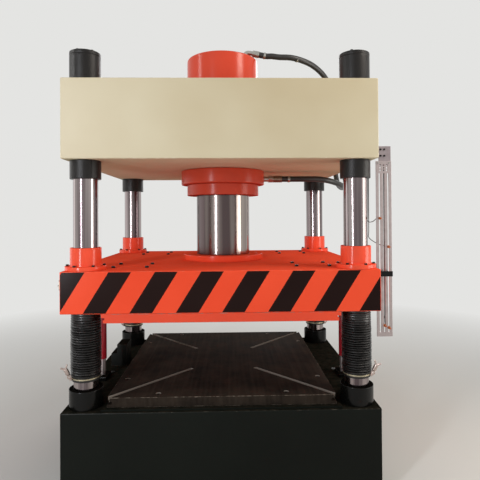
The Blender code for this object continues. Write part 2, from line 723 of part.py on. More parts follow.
def make_die_plate(travel):
    sizes = (DIE_PLATE_WIDTH, SLIDE_SIZE_Y, DIE_PLATE_THICKNESS)
    plate = block("die_plate", sizes, "orange_paint", (0, 0, DIE_PLATE_Z), DIE_PLATE_EDGE, travel)
    half = DIE_PLATE_WIDTH / 2
    groove_spots = [(side * half, 0, 0) for side in SIDES.values()]
    groove = block_mesh(
        "plate_grooves",
        (2 * DIE_PLATE_GROOVE_DEPTH, SLIDE_SIZE_Y + 2 * OVERRUN, DIE_PLATE_GROOVE_HEIGHT),
        groove_spots,
    )
    groove_z = DIE_PLATE_Z + DIE_PLATE_LIP_HEIGHT + DIE_PLATE_GROOVE_HEIGHT / 2
    combine(plate, place_cutter("plate_grooves", groove, (0, 0, groove_z), travel))
    step = block_mesh(
        "plate_steps",
        (2 * DIE_PLATE_LIP_STEP, SLIDE_SIZE_Y + 2 * OVERRUN, 2 * DIE_PLATE_LIP_HEIGHT),
        groove_spots,
    )
    combine(plate, place_cutter("plate_steps", step, (0, 0, DIE_PLATE_Z), travel))


def make_side_cap(travel):
    """A bolted round cover on the slide's left face, near the front."""
    profile = (
        (0, SIDE_CAP_THICKNESS + SIDE_CAP_HUB_HEIGHT),
        (SIDE_CAP_HUB_RADIUS, SIDE_CAP_THICKNESS + SIDE_CAP_HUB_HEIGHT),
        (SIDE_CAP_HUB_RADIUS, SIDE_CAP_THICKNESS),
        (SIDE_CAP_RADIUS, SIDE_CAP_THICKNESS),
        (SIDE_CAP_RADIUS, 0),
        (0, 0),
    )
    at = (-SLIDE_SIZE_X / 2 - FIT, SIDE_CAP_INSET_Y - SLIDE_SIZE_Y / 2, SLIDE_TOP_Z - SIDE_CAP_DROP)
    cap = turned("slide_side_cap", profile, "orange_paint", at, SMALL_ROUND, travel)
    cap.rotation_euler.y = math.radians(-90)


def make_guide_bushes(travel):
    neck = SLIDE_HEIGHT + FIT + BUSH_FLANGE_THICKNESS
    flange = SLIDE_HEIGHT + FIT
    bore = COLUMN_RADIUS + FIT
    profile = (
        (bore, neck + BUSH_NECK_HEIGHT),
        (BUSH_NECK_RADIUS - BUSH_EDGE, neck + BUSH_NECK_HEIGHT),
        (BUSH_NECK_RADIUS, neck + BUSH_NECK_HEIGHT - BUSH_EDGE),
        (BUSH_NECK_RADIUS, neck),
        (BUSH_FLANGE_RADIUS, neck),
        (BUSH_FLANGE_RADIUS, flange),
        (BUSH_SEAT_RADIUS, flange),
        (BUSH_SEAT_RADIUS, 0),
        (bore, 0),
    )
    for name, spot in COLUMNS.items():
        at = spot + Vector((0, 0, SLIDE_Z))
        turned(f"guide_bush_{name}", profile, "orange_paint", at, ROUND, travel)


def bellows_profile():
    """Cuff, pleats and collar down the outside, and the bore and the cuff's bore up the inside."""
    height = SLIDE_Z - FIT - BELLOWS_LOWER_Z
    low = BELLOWS_CUFF_HEIGHT
    pitch = (height - BELLOWS_COLLAR_HEIGHT - low) / BELLOWS_PLEATS
    profile = [(BUSH_SEAT_RADIUS, height), (BUSH_SEAT_RADIUS, height - BELLOWS_COLLAR_HEIGHT)]
    for pleat in reversed(range(BELLOWS_PLEATS)):
        profile.append((BELLOWS_ROOT_RADIUS, low + (pleat + 1) * pitch))
        profile.append((BELLOWS_CREST_RADIUS, low + (pleat + 1 / 2) * pitch))
    profile.append((BELLOWS_CUFF_RADIUS, low))
    profile.append((BELLOWS_CUFF_RADIUS, 0))
    profile.append((COLUMN_RADIUS + FIT, 0))
    profile.append((COLUMN_RADIUS + FIT, low))
    profile.append((BELLOWS_BORE_RADIUS, low))
    profile.append((BELLOWS_BORE_RADIUS, height))
    return profile


def make_bellows():
    clamp_radius = BELLOWS_CUFF_RADIUS + FIT
    outer = clamp_radius + CLAMP_WALL
    band = (
        (outer, CLAMP_HEIGHT),
        (outer, 0),
        (clamp_radius, 0),
        (clamp_radius, CLAMP_HEIGHT),
    )
    for name, spot in COLUMNS.items():
        base = spot + Vector((0, 0, BELLOWS_LOWER_Z))
        turned(f"bellows_{name}", bellows_profile(), "rubber", base)
        clamp_at = base + Vector((0, 0, CLAMP_RISE))
        clamp = turned(f"bellows_clamp_{name}", band, "zinc", clamp_at)
        side = math.copysign(1, spot.x)
        lug = block_mesh(f"clamp_lug_{name}", (CLAMP_LUG_DEPTH, CLAMP_LUG_LENGTH, CLAMP_HEIGHT))
        reach = clamp_radius + CLAMP_WALL / 2 + CLAMP_LUG_DEPTH / 2
        lug_at = clamp_at + Vector((side * reach, 0, CLAMP_HEIGHT / 2))
        combine(clamp, place_cutter(f"clamp_lug_{name}", lug, lug_at), "UNION")


def make_stop_posts(travel):
    """On each side a rod on the bed runs in a sleeve that hangs from the slide."""
    base_top = BED_HEIGHT + FIT + STOP_BASE_HEIGHT
    rod_low = base_top - STOP_ROD_SEAT + FIT
    rod_top = SLIDE_Z - STOP_ROD_INSET
    base_sizes = (STOP_BASE_WIDTH, STOP_BASE_DEPTH, STOP_BASE_HEIGHT)
    sleeve_low = base_top + STROKE_DOWN + STOP_SLEEVE_GAP
    sleeve_length = SLIDE_Z - FIT - sleeve_low
    collar = sleeve_length - STOP_SLEEVE_COLLAR_HEIGHT
    bore = STOP_SLEEVE_RADIUS - STOP_SLEEVE_WALL
    sleeve_profile = (
        (STOP_SLEEVE_COLLAR_RADIUS, sleeve_length),
        (STOP_SLEEVE_COLLAR_RADIUS, collar),
        (STOP_SLEEVE_RADIUS, collar),
        (STOP_SLEEVE_RADIUS, 0),
        (bore, 0),
        (bore, sleeve_length),
    )
    rod_profile = (
        (0, rod_top - rod_low),
        (STOP_ROD_RADIUS, rod_top - rod_low),
        (STOP_ROD_RADIUS, 0),
        (0, 0),
    )
    for name, side in SIDES.items():
        spot = Vector((side * STOP_X, STOP_Y, 0))
        base = block(f"stop_base_{name}", base_sizes, "black_paint",
                     spot + Vector((0, 0, BED_HEIGHT + FIT)), STOP_BASE_EDGE)
        seat = rod_mesh(f"rod_seat_{name}", STOP_ROD_RADIUS + FIT, base_top - STOP_ROD_SEAT,
                        base_top + OVERRUN, rounds=SMALL_ROUND)
        combine(base, place_cutter(f"rod_seat_{name}", seat, spot))
        turned(f"stop_rod_{name}", rod_profile, "grey_steel", spot + Vector((0, 0, rod_low)),
               SMALL_ROUND)
        hang = spot + Vector((0, 0, sleeve_low))
        turned(f"stop_sleeve_{name}", sleeve_profile, "red_tube", hang, SMALL_ROUND, travel)


def make_step_block():
    """A packing block with two treads, on the bed's left strip."""
    step_x = STEP_BLOCK_INSET + STEP_BLOCK_WIDTH / 2 - BED_SIZE_X / 2
    at = Vector((step_x, STEP_BLOCK_Y, BED_HEIGHT + FIT))
    sizes = (STEP_BLOCK_WIDTH, STEP_BLOCK_DEPTH, STEP_BLOCK_UPPER)
    step_block = block("step_block", sizes, "black_paint", at)
    notch = block_mesh(
        "step_notch",
        (2 * STEP_BLOCK_TREAD, 2 * STEP_BLOCK_DEPTH, 2 * (STEP_BLOCK_UPPER - STEP_BLOCK_LOWER)),
    )
    corner = at + Vector((-STEP_BLOCK_WIDTH / 2, 0, STEP_BLOCK_UPPER))
    combine(step_block, place_cutter("step_notch", notch, corner))


def rail_places(pitch=RAIL_SLOT_PITCH):
    """The places across the strip of a set of slots or of holes."""
    first = RAIL_X + RAIL_WIDTH / 2 - pitch * (RAIL_SLOT_COUNT - 1) / 2
    return [first + pitch * index for index in range(RAIL_SLOT_COUNT)]


def make_switch_rail():
    """An angle on the crown's side carries a slotted strip. Its foot leg lies on the crown."""
    crown_side = CROWN_SIZE_X / 2 + FIT
    strip_centre = Vector((RAIL_X + RAIL_WIDTH / 2, RAIL_Y, RAIL_BOTTOM_Z))
    rail = block("switch_rail", (RAIL_WIDTH, RAIL_THICKNESS, RAIL_LENGTH), "grey_steel",
                 strip_centre)
    web_width = RAIL_X + RAIL_WIDTH / 2 - crown_side
    web = block_mesh("rail_web", (web_width, RAIL_THICKNESS, RAIL_BRACKET_HEIGHT))
    web_z = CROWN_UNDERSIDE_Z + RAIL_BRACKET_HEIGHT / 2
    web_at = (crown_side + web_width / 2, RAIL_Y, web_z)
    combine(rail, place_cutter("rail_web", web, web_at), "UNION")
    foot = block_mesh("rail_foot", (RAIL_THICKNESS, RAIL_BRACKET_DEPTH, RAIL_BRACKET_HEIGHT))
    foot_y = RAIL_Y - RAIL_THICKNESS / 2 + RAIL_BRACKET_DEPTH / 2
    foot_at = (crown_side + RAIL_THICKNESS / 2, foot_y, web_z)
    combine(rail, place_cutter("rail_foot", foot, foot_at), "UNION")
    slot_length = RAIL_LENGTH - RAIL_BRACKET_HEIGHT - RAIL_HEAD - RAIL_END
    slot_z = RAIL_BOTTOM_Z + RAIL_END + slot_length / 2
    slots = block_mesh("rail_slots", (RAIL_SLOT_WIDTH, 2 * RAIL_BRACKET_DEPTH, slot_length),
                       [(x, RAIL_Y, slot_z) for x in rail_places()])
    combine(rail, place_cutter("rail_slots", slots, (0, 0, 0)))
    head_z = RAIL_BOTTOM_Z + RAIL_END + slot_length + RAIL_HEAD / 2
    rows = [head_z + RAIL_HOLE_PITCH * (row - (RAIL_HOLE_ROWS - 1) / 2)
            for row in range(RAIL_HOLE_ROWS)]
    holes = block_mesh("rail_holes", (RAIL_HOLE_WIDTH, 2 * RAIL_BRACKET_DEPTH, RAIL_HOLE_LENGTH),
                       [(x, RAIL_Y, z) for x in rail_places(RAIL_HOLE_SPREAD) for z in rows])
    combine(rail, place_cutter("rail_holes", holes, (0, 0, 0)))


def sensor_profile():
    """Along the sensor's axis: face, front nut, the waist in the slot, back nut and tail."""
    waist = RAIL_THICKNESS + 2 * FIT
    tail = SENSOR_BACK
    nut = SENSOR_NUT_HEIGHT
    return (
        (0, tail + waist + SENSOR_FRONT),
        (SENSOR_RADIUS, tail + waist + SENSOR_FRONT),
        (SENSOR_RADIUS, tail + waist + nut),
        (SENSOR_NUT_RADIUS, tail + waist + nut),
        (SENSOR_NUT_RADIUS, tail + waist),
        (SENSOR_RADIUS, tail + waist),
        (SENSOR_RADIUS, tail),
        (SENSOR_NUT_RADIUS, tail),
        (SENSOR_NUT_RADIUS, tail - nut),
        (SENSOR_RADIUS, tail - nut),
        (SENSOR_RADIUS, 0),
        (0, 0),
    )


def sensor_tail_y():
    return RAIL_Y + RAIL_THICKNESS / 2 + FIT + SENSOR_BACK


def make_sensors():
    left, _, right = rail_places()
    for name, x, z in (
        ("upper", left, CROWN_UNDERSIDE_Z - SENSOR_UPPER_DROP),
        ("middle", right, CROWN_UNDERSIDE_Z - SENSOR_MIDDLE_DROP),
        ("lower", right, RAIL_BOTTOM_Z + SENSOR_LOWER_RISE),
    ):
        sensor = turned(f"sensor_{name}", sensor_profile(), "copper", (x, sensor_tail_y(), z),
                        HOLE_ROUND)
        sensor.rotation_euler.x = math.radians(90)


def smooth_route(points, samples=HOSE_SAMPLES):
    """A smooth curve through the points, read at equal steps between each pair of them."""
    points = [Vector(point) for point in points]
    padded = [2 * points[0] - points[1], *points, 2 * points[-1] - points[-2]]
    route = []
    for before, start, end, after in zip(padded, padded[1:], padded[2:], padded[3:]):
        for step in range(samples):
            t = step / samples
            route.append(
                ((-before + 3 * start - 3 * end + after) * t**3
                 + (2 * before - 5 * start + 4 * end - after) * t**2
                 + (end - before) * t
                 + 2 * start) / 2
            )
    return [*route, points[-1]]


def tube_mesh(name, route, radius):
    """A round tube along a route, with welded caps."""
    curve = bpy.data.curves.new(name, "CURVE")
    curve.dimensions = "3D"
    curve.bevel_depth = radius
    curve.bevel_resolution = 2
    curve.use_fill_caps = True
    spline = curve.splines.new("POLY")
    spline.points.add(len(route) - 1)
    for point, spot in zip(spline.points, route):
        point.co = (*spot, 1)
    guide = bpy.data.objects.new(name, curve)
    bpy.context.scene.collection.objects.link(guide)
    graph = bpy.context.evaluated_depsgraph_get()
    mesh = bpy.data.meshes.new_from_object(guide.evaluated_get(graph))
    bpy.data.objects.remove(guide, do_unlink=True)
    shape = bmesh.new()
    shape.from_mesh(mesh)
    bmesh.ops.remove_doubles(shape, verts=shape.verts, dist=MERGE)
    bmesh.ops.recalc_face_normals(shape, faces=shape.faces)
    shape.to_mesh(mesh)
    shape.free()
    return mesh


def arc_points(centre, start, end, steps=4):
    """A quarter turn about a centre, from one arm to the other."""
    centre, start, end = Vector(centre), Vector(start), Vector(end)
    turns = [math.radians(90) * step / steps for step in range(steps + 1)]
    return [centre + start * math.cos(turn) + end * math.sin(turn) for turn in turns]


def make_top_elbow():
    """The elbow on the cylinder's end: a tube with a hexagon at its foot and a ferrule."""
    bend = ELBOW_RISE - ELBOW_HEX_HEIGHT
    foot = Vector((ELBOW_X, 0, BARREL_TOP_Z + FIT))
    top = foot + Vector((0, 0, ELBOW_RISE))
    arc = arc_points(top + Vector((bend, 0, -bend)), (-bend, 0, 0), (0, 0, bend))
    route = [foot, *arc, top + Vector((ELBOW_REACH, 0, 0))]
    mesh = tube_mesh("top_port_elbow", [spot - foot for spot in route], FITTING_RADIUS)
    elbow = place("top_port_elbow", mesh, "zinc", foot)
    smooth(elbow)
    hexagon = rod_mesh("elbow_hexagon", HEX_RADIUS, 0, ELBOW_HEX_HEIGHT, rounds=6)
    combine(elbow, place_cutter("elbow_hexagon", hexagon, foot), "UNION")
    lying = Matrix.Rotation(math.radians(90), 4, "Y")
    ferrule = rod_mesh("elbow_ferrule", FERRULE_RADIUS, ELBOW_REACH - ELBOW_FERRULE_LENGTH,
                       ELBOW_REACH, rounds=SMALL_ROUND, frame=lying)
    combine(elbow, place_cutter("elbow_ferrule", ferrule, top), "UNION")


def make_flange_port():
    """The straight fitting in the flange's right side: hexagon, stem and ferrule."""
    ferrule = FLANGE_PORT_LENGTH - FLANGE_PORT_FERRULE
    at = (CYLINDER_FLANGE_RADIUS + FIT, 0, CROWN_UNDERSIDE_Z - FLANGE_PORT_DROP)
    profile = (
        (0, FLANGE_PORT_LENGTH),
        (FERRULE_RADIUS, FLANGE_PORT_LENGTH),
        (FERRULE_RADIUS, ferrule),
        (FITTING_RADIUS, ferrule),
        (FITTING_RADIUS, 0),
        (0, 0),
    )
    port = turned("flange_port", profile, "zinc", at, SMALL_ROUND)
    port.rotation_euler.y = math.radians(90)
    lying = Matrix.Rotation(math.radians(90), 4, "Y")
    hexagon = rod_mesh("port_hexagon", HEX_RADIUS, 0, FLANGE_PORT_HEX, rounds=6, frame=lying)
    combine(port, place_cutter("port_hexagon", hexagon, at), "UNION")


def make_port_block():
    """The block on the crown's right side where both hoses end, with a stub for each."""
    top = CROWN_TOP_Z - BLOCK_TOP_DROP
    at = Vector((CROWN_SIZE_X / 2 + FIT + BLOCK_WIDTH / 2, BLOCK_Y, top - BLOCK_HEIGHT))
    port_block = block("port_block", (BLOCK_WIDTH, BLOCK_DEPTH, BLOCK_HEIGHT), "grey_steel", at)
    stub_x = CROWN_SIZE_X / 2 + HOSE_BLOCK_OFFSET
    stubs = rod_mesh("port_stubs", FERRULE_RADIUS, at.z - BLOCK_PORT_HEIGHT,
                     top + BLOCK_PORT_HEIGHT, ((stub_x, BLOCK_Y),), SMALL_ROUND)
    combine(port_block, place_cutter("port_stubs", stubs, (0, 0, 0)), "UNION")


def hose(name, start, outward, end, inward, shares):
    """A hose between two fittings. Its route is in shares of the way from one to the other."""
    span = end - start
    middle = [start + Vector(a * b for a, b in zip(share, span)) for share in shares]
    route = [*straight(start, outward), *middle, *reversed(straight(end, inward))]
    mesh = tube_mesh(name, [spot - start for spot in smooth_route(route)], HOSE_RADIUS)
    smooth(place(name, mesh, "rubber", start))


def straight(end, step):
    """The stretch next to a fitting, where the hose runs straight."""
    return [end, end + step, end + 2 * step]


def make_hoses():
    """Each hose runs from its fitting on the cylinder to its stub on the block."""
    stub_x = CROWN_SIZE_X / 2 + HOSE_BLOCK_OFFSET
    block_top = CROWN_TOP_Z - BLOCK_TOP_DROP + BLOCK_PORT_HEIGHT + FIT
    block_low = CROWN_TOP_Z - BLOCK_TOP_DROP - BLOCK_HEIGHT - BLOCK_PORT_HEIGHT - FIT
    elbow_end = Vector((ELBOW_X + ELBOW_REACH + FIT, 0, BARREL_TOP_Z + FIT + ELBOW_RISE))
    port_end = Vector((CYLINDER_FLANGE_RADIUS + 2 * FIT + FLANGE_PORT_LENGTH, 0,
                       CROWN_UNDERSIDE_Z - FLANGE_PORT_DROP))
    outward = Vector((HOSE_RADIUS, 0, 0))
    upward = Vector((0, 0, HOSE_RADIUS))
    top_stub = Vector((stub_x, BLOCK_Y, block_top))
    low_stub = Vector((stub_x, BLOCK_Y, block_low))
    hose("top_hose", elbow_end, outward, top_stub, upward, TOP_HOSE_SHARES)
    hose("lower_hose", port_end, outward, low_stub, -upward, LOWER_HOSE_SHARES)


def make_sensor_lead():
    """The trunk lead: from the lowest sensor up the back of the rail and into the crown's side."""
    x = rail_places()[-1]
    tail = Vector((x, sensor_tail_y() + FIT, RAIL_BOTTOM_Z + SENSOR_LOWER_RISE))
    bend = 6 * LEAD_RADIUS
    crown_side = CROWN_SIZE_X / 2 + FIT
    top_z = CROWN_UNDERSIDE_Z + RAIL_BRACKET_HEIGHT / 2
    outlet = tail + Vector((0, 2 * LEAD_RADIUS, 0))
    lower = arc_points(outlet + Vector((0, 0, bend)), (0, 0, -bend), (0, bend, 0))
    back_y = outlet.y + bend
    upper = arc_points((x - bend, back_y, top_z - bend), (bend, 0, 0), (0, 0, bend))
    route = [tail, *lower, *upper, Vector((crown_side, back_y, top_z))]
    mesh = tube_mesh("sensor_lead", [spot - tail for spot in route], LEAD_RADIUS)
    smooth(place("sensor_lead", mesh, "rubber", tail))


def make_trigger(travel):
    """An angle on the slide's right face, with the flag that passes the sensors."""
    side = SLIDE_SIZE_X / 2 + FIT
    top = SLIDE_TOP_Z - TRIGGER_DROP
    low = top - TRIGGER_HEIGHT
    at = Vector((side + TRIGGER_REACH / 2, TRIGGER_Y, low))
    arm = block("switch_trigger", (TRIGGER_REACH, TRIGGER_THICKNESS, TRIGGER_HEIGHT),
                "black_paint", at, parent=travel)
    foot = block_mesh("trigger_foot",
                      (TRIGGER_FOOT_THICKNESS, TRIGGER_FOOT_DEPTH, TRIGGER_HEIGHT))
    foot_at = (side + TRIGGER_FOOT_THICKNESS / 2, TRIGGER_Y, low + TRIGGER_HEIGHT / 2)
    combine(arm, place_cutter("trigger_foot", foot, foot_at, travel), "UNION")
    flag = block_mesh("trigger_flag", (TRIGGER_FLAG_WIDTH, TRIGGER_THICKNESS, TRIGGER_FLAG_LENGTH))
    flag_at = (side + TRIGGER_FLAG_X, TRIGGER_Y, low + TRIGGER_HEIGHT / 2 - TRIGGER_FLAG_LENGTH / 2)
    combine(arm, place_cutter("trigger_flag", flag, flag_at, travel), "UNION")


def make_travel():
    """The moving slide's empty, on the press axis at the slide's underside."""
    travel = bpy.data.objects.new("slide_travel", None)
    PART.objects.link(travel)
    travel.location = (0, 0, SLIDE_Z)
    return travel


clear_scene()
PART = new_collection("hydraulic_press")
CUTTERS = new_collection("cutters")

make_bed()
make_bolster()
make_columns()
make_crown()
make_nuts()
make_cylinder()
make_gland()
make_bellows()
make_step_block()
make_switch_rail()
make_sensors()
make_sensor_lead()
make_top_elbow()
make_flange_port()
make_port_block()
make_hoses()

slide_travel = make_travel()
make_slide(slide_travel)
make_die_plate(slide_travel)
make_ram(slide_travel)
make_guide_bushes(slide_travel)
make_side_cap(slide_travel)
make_trigger(slide_travel)
make_stop_posts(slide_travel)
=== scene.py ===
"""A four-column hydraulic press with one cylinder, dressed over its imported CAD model. Lengths
are in metres and lamps in watts."""
import math
import random

import bmesh
import bpy
from mathutils import Matrix, Vector, noise


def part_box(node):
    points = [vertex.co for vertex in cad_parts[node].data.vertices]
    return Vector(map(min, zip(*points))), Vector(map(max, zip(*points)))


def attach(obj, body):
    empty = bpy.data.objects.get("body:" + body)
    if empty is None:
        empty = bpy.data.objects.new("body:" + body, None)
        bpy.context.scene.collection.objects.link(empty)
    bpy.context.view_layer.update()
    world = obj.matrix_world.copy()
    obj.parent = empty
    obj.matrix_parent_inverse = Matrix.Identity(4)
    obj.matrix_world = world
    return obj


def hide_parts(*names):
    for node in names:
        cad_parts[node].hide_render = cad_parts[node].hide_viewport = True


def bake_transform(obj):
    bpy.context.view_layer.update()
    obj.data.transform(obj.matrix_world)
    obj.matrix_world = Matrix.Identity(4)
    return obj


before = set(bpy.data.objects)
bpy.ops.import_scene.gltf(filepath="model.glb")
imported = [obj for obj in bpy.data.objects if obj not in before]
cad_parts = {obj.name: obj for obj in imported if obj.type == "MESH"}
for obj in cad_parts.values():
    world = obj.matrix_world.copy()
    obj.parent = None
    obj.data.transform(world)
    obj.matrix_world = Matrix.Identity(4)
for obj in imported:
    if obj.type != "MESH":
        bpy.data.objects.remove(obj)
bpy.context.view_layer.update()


# The press stands on a pale studio floor, seen from the operator's eye height. A tall window-like
# lamp on the right and a narrow one at the left front draw upright streaks on everything round.
def linear(colour):
    """An sRGB hex colour as Blender's linear colour."""
    parts = [int(colour[i:i + 2], 16) / 255 for i in (1, 3, 5)]
    return (*(c / 12.92 if c <= 0.04045 else ((c + 0.055) / 1.055) ** 2.4 for c in parts), 1)


def connect(tree, target, links):
    """Runs outputs into the sockets of a node. Each is given as (node, output), or as the node
    alone for its first output."""
    for socket, link in dict(links).items():
        source, output = link if isinstance(link, tuple) else (link, 0)
        tree.links.new(source.outputs[output], target.inputs[socket])


def node(tree, kind, settings=(), links=()):
    """Adds a node, with its settings and with what runs into its sockets. A Mix node of colours
    takes its factor in 0 and its colours in 6 and 7, and gives its result from 2."""
    new = tree.nodes.new("ShaderNode" + kind)
    for name, value in dict(settings).items():
        if isinstance(name, str) and name in new.bl_rna.properties:
            setattr(new, name, value)
        else:
            new.inputs[name].default_value = value
    connect(tree, new, links)
    return new


def in_scene(name, data):
    """A new object in the scene."""
    made = bpy.data.objects.new(name, data)
    bpy.context.scene.collection.objects.link(made)
    return made


# The lens, the eye and its small turns are matched to the photograph.
eye = (0.0490, -3.4708, 1.7146)
turn, tilt, roll = -0.02523, math.radians(90) + 0.00748, -0.0060
lens = bpy.data.cameras.new("operator_view")
lens.sensor_width, lens.lens = 36, 33.146
lens.shift_x, lens.shift_y = -0.00104, -0.0552
camera = in_scene("operator_view", lens)
camera.matrix_world = (Matrix.Translation(eye) @ Matrix.Rotation(turn, 4, "Z")
                       @ Matrix.Rotation(tilt, 4, "X") @ Matrix.Rotation(roll, 4, "Z"))
bpy.context.scene.camera = camera
bpy.context.scene.view_settings.view_transform = "Standard"

# Each lamp has its place, what it faces, its width and height, its watts and its tint.
lamps = (
    ("window_lamp", (3.5, -1.4, 1.75), (0, -1.4, 1.75), 1.6, 2.5, 63, "#FFFAF2"),
    ("front_lamp", (-2.5, -4.35, 2.3), (0, 0, 1.7), 0.32, 3.0, 112, "#F6F9FF"),
    ("high_strip_lamp", (-3.4, -1.0, 3.6), (0, 0, 2.6), 0.3, 1.6, 20, "#FFFFFF"),
    ("roof_lamp", (2.6, -1.6, 4.2), (0.2, 0, 2.7), 1.0, 1.0, 48, "#FFF4E8"),
    ("side_lamp", (-3.6, 0.9, 2.0), (0, 0, 1.5), 2.4, 2.4, 12, "#FFFFFF"),
    ("rear_lamp", (1.5, 4.5, 3.6), (0, 0, 1.6), 3.0, 2.4, 80, "#FFFFFF"),
)
for name, hook, target, width, height, watts, tint in lamps:
    lamp = bpy.data.lights.new(name, "AREA")
    lamp.shape, lamp.size, lamp.size_y, lamp.energy = "RECTANGLE", width, height, watts
    lamp.color = linear(tint)[:3]
    hung = in_scene(name, lamp)
    hung.location = hook
    hung.rotation_euler = (Vector(target) - Vector(hook)).to_track_quat("-Z", "Y").to_euler()


def behind_things(tree):
    """1 where a ray looks at the background itself, in the picture, in a mirror or in glass."""
    ray = node(tree, "LightPath")
    shown = node(tree, "Math", {"operation": "MAXIMUM"},
                 {0: (ray, "Is Camera Ray"), 1: (ray, "Is Glossy Ray")})
    return node(tree, "Math", {"operation": "MAXIMUM"}, {0: shown, 1: (ray, "Is Transmission Ray")})


backdrop_colour = linear("#E4E4E2")
world = bpy.data.worlds.new("studio")
bpy.context.scene.world = world
world.use_nodes = True
sky = world.node_tree
sky.nodes.clear()
ambient = node(sky, "Background", {"Color": linear("#F6EFE6"), "Strength": 0.3})
backdrop = node(sky, "Background", {"Color": backdrop_colour, "Strength": 1.0})
mixed = node(sky, "MixShader", (), {"Fac": behind_things(sky), 1: ambient, 2: backdrop})
node(sky, "OutputWorld", (), {"Surface": mixed})


def finish_of(name, roughness=0.5, metallic=0.0, gloss=0.5):
    """A new finish: its material, its tree, its shader and the output for the place on it."""
    material = bpy.data.materials.new(name)
    material.use_nodes = True
    shader = material.node_tree.nodes["Principled BSDF"]
    shader.inputs["Roughness"].default_value = roughness
    shader.inputs["Metallic"].default_value = metallic
    shader.inputs["Specular IOR Level"].default_value = gloss
    place = (node(material.node_tree, "TexCoord"), "Object")
    return material, material.node_tree, shader, place


# Matt floor paint takes soft shadows near the press. It fades into the backdrop between these
# two distances, so no horizon shows.
fade_from, fade_to = 1.8, 6.0
studio_floor, tree, shader, place = finish_of("studio_floor", 0.9)
shader.inputs["Base Color"].default_value = linear("#CFCFCC")
distance = node(tree, "VectorMath", {"operation": "LENGTH"}, {0: place})
away = node(tree, "MapRange", {"From Min": fade_from, "From Max": fade_to},
            {"Value": (distance, "Value")})
faded = node(tree, "Math", {"operation": "MULTIPLY"}, {0: away, 1: behind_things(tree)})
horizon = node(tree, "Emission", {"Color": backdrop_colour, "Strength": 1.0})
ground = node(tree, "MixShader", (), {"Fac": faded, 1: shader, 2: horizon})
connect(tree, tree.nodes["Material Output"], {"Surface": ground})

floor_reach, floor_level = 30, -0.001
floor_mesh = bpy.data.meshes.new("studio_floor")
floor_mesh.from_pydata([(x * floor_reach, y * floor_reach, floor_level)
                        for x, y in ((-1, -1), (1, -1), (1, 1), (-1, 1))], [], [(0, 1, 2, 3)])
floor_mesh.materials.append(studio_floor)
floor = in_scene("studio_floor", floor_mesh)


# The bed is a welded steel box with a raised pad under the bolster. It is sprayed with a dark
# green-black machine enamel that has gone dull and brown with oil and dust on top.
def patches(tree, source, scale, detail, low, high, most=1.0, grain=0.5):
    """Cloudy patches of about 1 / scale metres across, from 0 between them up to most."""
    cloud = node(tree, "TexNoise", {"Scale": scale, "Detail": detail, "Roughness": grain},
                 {"Vector": source})
    return node(tree, "MapRange", {"From Min": low, "From Max": high, "To Max": most},
                {"Value": cloud})


def worn_and_lit_edges(tree, place, low, high, reach):
    """A band along the edges of a box between two corners: 1 on an edge, 0 from about reach
    inwards, and uneven every 40 mm or so. A point's second smallest distance to the six faces
    tells how near an edge it lies."""
    offset = node(tree, "VectorMath", {"operation": "SUBTRACT", 1: (low + high) / 2}, {0: place})
    offset = node(tree, "VectorMath", {"operation": "ABSOLUTE"}, {0: offset})
    inset = node(tree, "VectorMath", {"operation": "SUBTRACT", 0: (high - low) / 2}, {1: offset})
    inset = node(tree, "SeparateXYZ", (), {0: inset})
    near = node(tree, "Math", {"operation": "MINIMUM"}, {0: (inset, "X"), 1: (inset, "Y")})
    far = node(tree, "Math", {"operation": "MAXIMUM"}, {0: (inset, "X"), 1: (inset, "Y")})
    far = node(tree, "Math", {"operation": "MINIMUM"}, {0: far, 1: (inset, "Z")})
    second = node(tree, "Math", {"operation": "MAXIMUM"}, {0: near, 1: far})
    uneven = patches(tree, place, 26.0, 5.0, 0.35, 0.7, reach, 0.7)
    inwards = node(tree, "Math", {"operation": "SUBTRACT"}, {0: second, 1: uneven})
    return node(tree, "MapRange", {"From Min": 0.0, "From Max": -reach * 0.35}, {"Value": inwards})


